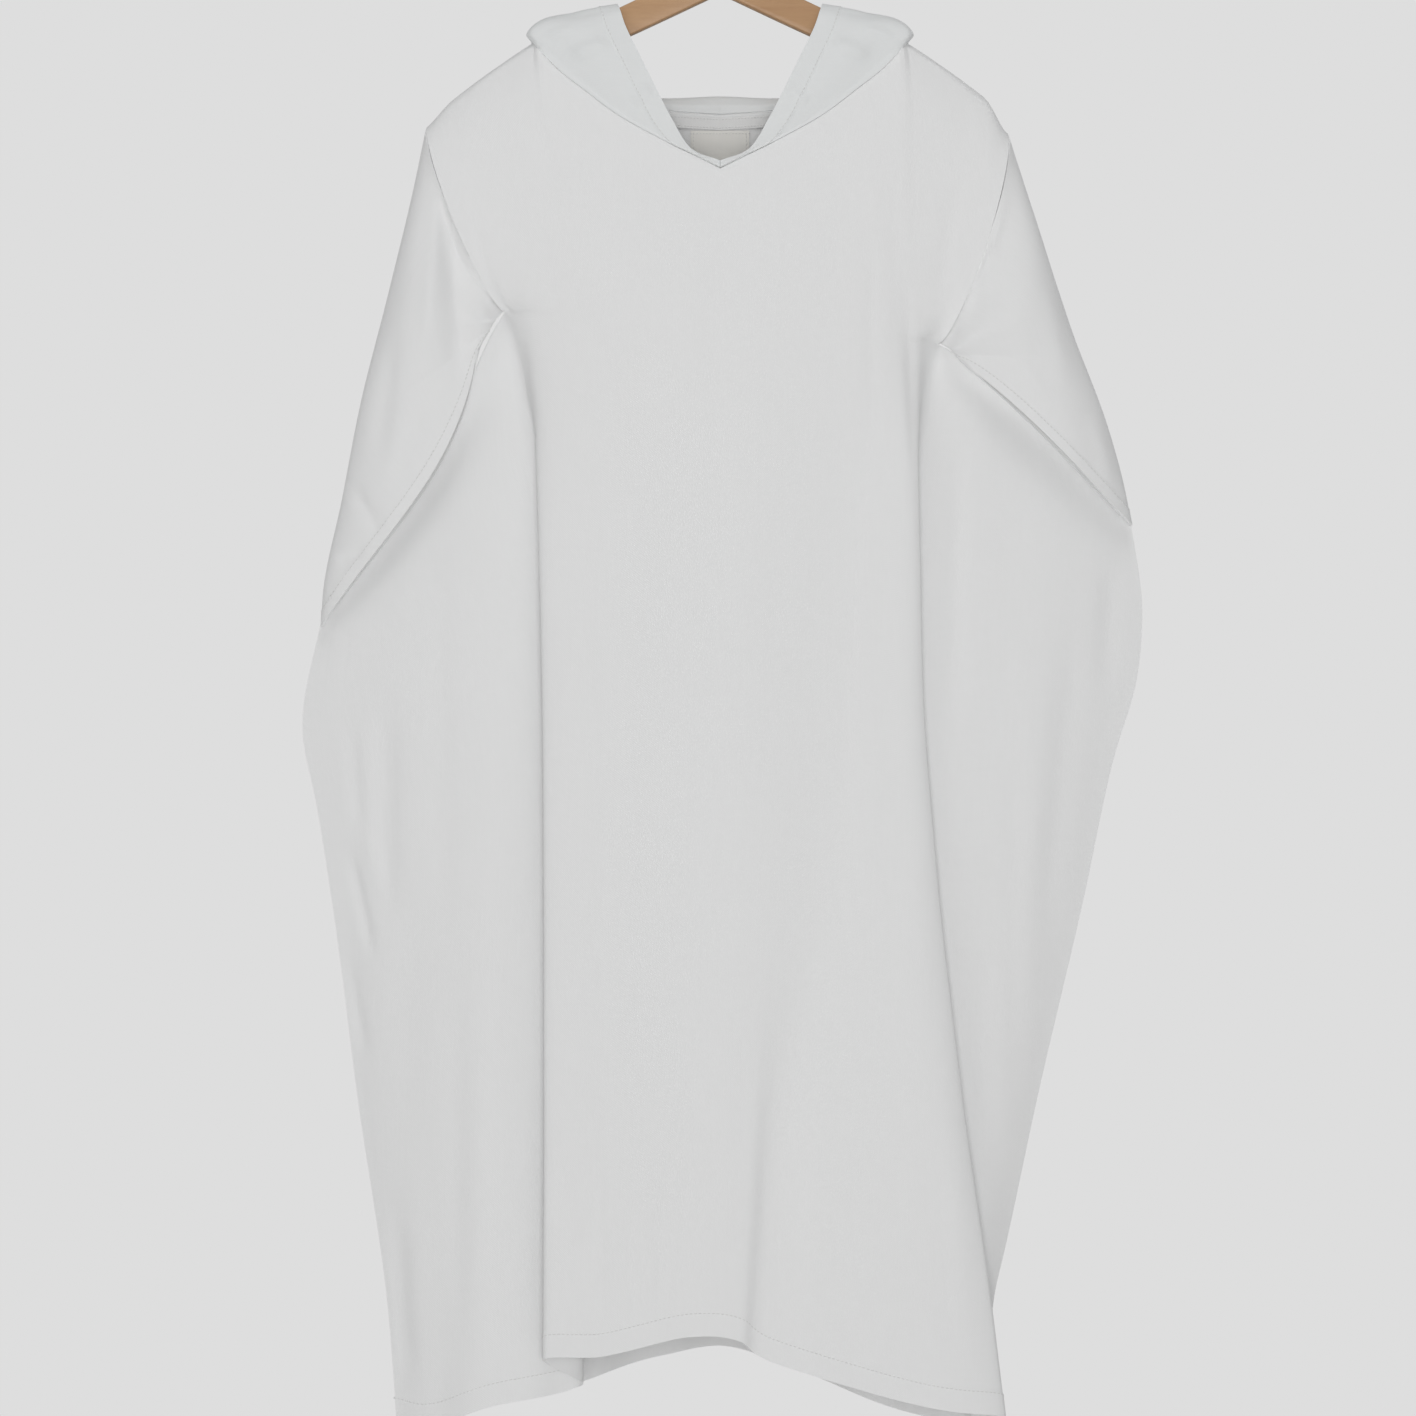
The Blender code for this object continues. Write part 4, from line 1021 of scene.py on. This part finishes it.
def make_hanger(wood_finish, wire_finish):
    """Flat beech hanger and its round hook."""
    xs = np.linspace(-WOOD_REACH, WOOD_REACH, 97)
    outline = [(x, wood_top(x)) for x in xs]
    for x in xs[::-1]:
        depth = WOOD_DEPTH * (1 - WOOD_TAPER * (abs(x) / WOOD_REACH) ** 3)
        outline.append((x, wood_top(x) - depth))
    solid = bmesh.new()
    face = solid.faces.new([solid.verts.new((x, -WOOD_THICK / 2, z)) for x, z in outline])
    swept = bmesh.ops.extrude_face_region(solid, geom=[face])
    moved = [item for item in swept["geom"] if isinstance(item, bmesh.types.BMVert)]
    bmesh.ops.translate(solid, verts=moved, vec=(0, WOOD_THICK, 0))
    bmesh.ops.recalc_face_normals(solid, faces=solid.faces)
    mesh = bpy.data.meshes.new("hanger_arms")
    solid.to_mesh(mesh)
    solid.free()
    arms = link("hanger_arms", mesh)
    ease = arms.modifiers.new("eased edges", "BEVEL")
    ease.width = WOOD_EASE
    ease.segments = 4
    ease.limit_method = "ANGLE"
    ease.angle_limit = math.radians(50)
    arms = settled(arms)
    arms.data.shade_smooth()
    arms.data.set_sharp_from_angle(angle=math.radians(40))
    arms.data.materials.append(wood_finish)
    middle = -(HOOK_RADIUS - WIRE / 2)
    route = [(x, WOOD_TOP + z) for x, z in HOOK_STEM]
    route += [(x, middle + z) for x, z in HOOK_SWEEP]
    for angle in np.radians(HOOK_TURN):
        route.append((HOOK_RADIUS * math.cos(angle), middle + HOOK_RADIUS * math.sin(angle)))
    fine = along([(x, 0, z) for x, z in route], even(160))
    curve = bpy.data.curves.new("hanger_wire", "CURVE")
    curve.dimensions = "3D"
    curve.bevel_depth = WIRE / 2
    curve.bevel_resolution = 6
    curve.use_fill_caps = True
    line = curve.splines.new("POLY")
    line.points.add(len(fine) - 1)
    for point, place in zip(line.points, fine):
        point.co = (*place, 1)
    wire = bpy.data.objects.new("hanger_wire", curve)
    bpy.context.scene.collection.objects.link(wire)
    wire = settled(wire)
    wire.data.shade_smooth()
    wire.data.set_sharp_from_angle(angle=math.radians(50))
    wire.data.materials.clear()
    wire.data.materials.append(wire_finish)
    return arms, wire


# ---- stage, light and camera ----------------------------------------------
AMBIENT = 0.27              # surroundings as the cloth sees them
BACKDROP = 0.73             # and as the camera sees them
KEY = 7                     # lights, watts
FILL = 2
FRONT = 22
LOW = 10
TOP = 7
REAR = 28
FLOOR_RADIUS = 3.1
FLOOR_LEVEL = -1.9
CAMERA_PLACE = (-0.0098, -3.0, -0.6777)
CAMERA_LENS = 93.8


def area_light(name, place, aim, size, power):
    """Square soft white light at a place, aimed at a point."""
    lamp = bpy.data.lights.new(name, "AREA")
    lamp.shape = "SQUARE"
    lamp.size = size
    lamp.energy = power
    made = bpy.data.objects.new(name, lamp)
    made.location = place
    made.rotation_euler = (Vector(aim) - Vector(place)).to_track_quat("-Z", "Y").to_euler()
    bpy.context.scene.collection.objects.link(made)


def make_stage():
    """Pale floor, even pale surroundings, soft studio lights."""
    bpy.ops.mesh.primitive_circle_add(vertices=96, radius=FLOOR_RADIUS, fill_type="NGON",
                                      location=(0, 0, FLOOR_LEVEL))
    floor = bpy.context.object
    floor.name = "floor"
    made, tree, shader = material("pale floor", 0.9, specular=0.1)
    place = tree.nodes.new("ShaderNodeTexCoord").outputs["Object"]
    shade = noise(tree, place, 3, 2)
    pale = between(tree, shade, (0.76, 0.76, 0.755), (0.79, 0.79, 0.785))
    tree.links.new(pale, shader.inputs["Base Color"])
    floor.data.materials.append(made)
    world = bpy.data.worlds.new("pale studio")
    world.use_nodes = True
    bpy.context.scene.world = world
    nodes = world.node_tree.nodes
    links = world.node_tree.links
    sky = nodes["Background"]
    sky.inputs["Color"].default_value = (1, 1, 1, 1)
    sky.inputs["Strength"].default_value = AMBIENT
    seen = nodes.new("ShaderNodeBackground")
    seen.inputs["Color"].default_value = (1, 1, 1, 1)
    seen.inputs["Strength"].default_value = BACKDROP
    path = nodes.new("ShaderNodeLightPath")
    mix = nodes.new("ShaderNodeMixShader")
    links.new(path.outputs["Is Camera Ray"], mix.inputs["Fac"])
    links.new(sky.outputs[0], mix.inputs[1])
    links.new(seen.outputs[0], mix.inputs[2])
    links.new(mix.outputs[0], nodes["World Output"].inputs["Surface"])
    centre = (0, 0, -0.65)
    area_light("key", (-2.0, -2.3, -0.15), centre, 1.6, KEY)
    area_light("fill", (1.7, -2.3, -0.9), centre, 1.8, FILL)
    area_light("front", (0.0, -3.6, -0.68), centre, 1.0, FRONT)
    area_light("low front", (0.1, -2.9, -1.35), (0, 0, -0.9), 0.9, LOW)
    area_light("top", (0.1, -1.1, 1.2), (0, 0, -0.25), 1.0, TOP)
    area_light("rear", (1.3, 2.4, 0.7), centre, 1.8, REAR)
    area_light("rear side", (-1.8, 2.0, 0.0), centre, 1.6, REAR * 0.5)


def make_camera():
    """Level view of the front."""
    lens = bpy.data.cameras.new("camera")
    lens.sensor_width = 36
    lens.lens = CAMERA_LENS
    made = bpy.data.objects.new("camera", lens)
    made.location = CAMERA_PLACE
    made.rotation_euler = (math.radians(90), 0, 0)
    bpy.context.scene.collection.objects.link(made)
    bpy.context.scene.camera = made
    bpy.context.scene.view_settings.view_transform = "Standard"


def finish_piece(piece, slot, *nodes):
    """Ride on the one body and stand for its solids; the slot argument is not used."""
    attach(piece, "root")
    if nodes:
        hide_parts(*nodes)


stitch_tree()
weave_group()
make_stage()
make_camera()

thread = thread_finish()
body_cloth = cloth_finish("white cotton", (0.875, 0.875, 0.875), (0.905, 0.91, 0.91),
                          0.0009, 0.000025, 0.0007)
hood_cloth = cloth_finish("hood cotton", (0.83, 0.845, 0.845), (0.87, 0.885, 0.885),
                          0.0009, 0.000025, 0.0006)
tape_cloth = cloth_finish("neck tape", (0.88, 0.88, 0.875), (0.93, 0.93, 0.925),
                          0.0007, 0.00006, 0.0002)
label_cloth = cloth_finish("blank label", (0.90, 0.885, 0.84), (0.95, 0.935, 0.89),
                           0.0004, 0.00002, 0.0001, sheen=0.1, roughness=0.55)

panels, hem_sewing = make_panels(body_cloth, thread)
sleeves = make_sleeves(body_cloth, thread)
hood = make_hood(hood_cloth, thread)
tape, label, trim_sewing = make_neck_trim(panels["back_panel"][1], tape_cloth, label_cloth, thread)
arms, wire = make_hanger(beech_finish(), steel_finish())

for node, (piece, high) in panels.items():
    finish_piece(piece, "cloth", node)
finish_piece(hem_sewing, "cloth")
for side in ("left", "right"):
    sleeve, sewing = sleeves[side]
    finish_piece(sleeve, "cloth", "sleeve_" + side)
    finish_piece(sewing, "cloth")
    half, sewing = hood[side]
    finish_piece(half, "cloth", "hood_" + side)
    finish_piece(sewing, "cloth")
finish_piece(tape, "tape", "neck_tape")
finish_piece(label, "label", "neck_label")
finish_piece(trim_sewing, "tape")
finish_piece(arms, "wood", "hanger_wood")
finish_piece(wire, "hook", "hanger_hook")

for side in ("left", "right"):
    sleeve, sewing = sleeves[side]
    half, sewing = hood[side]
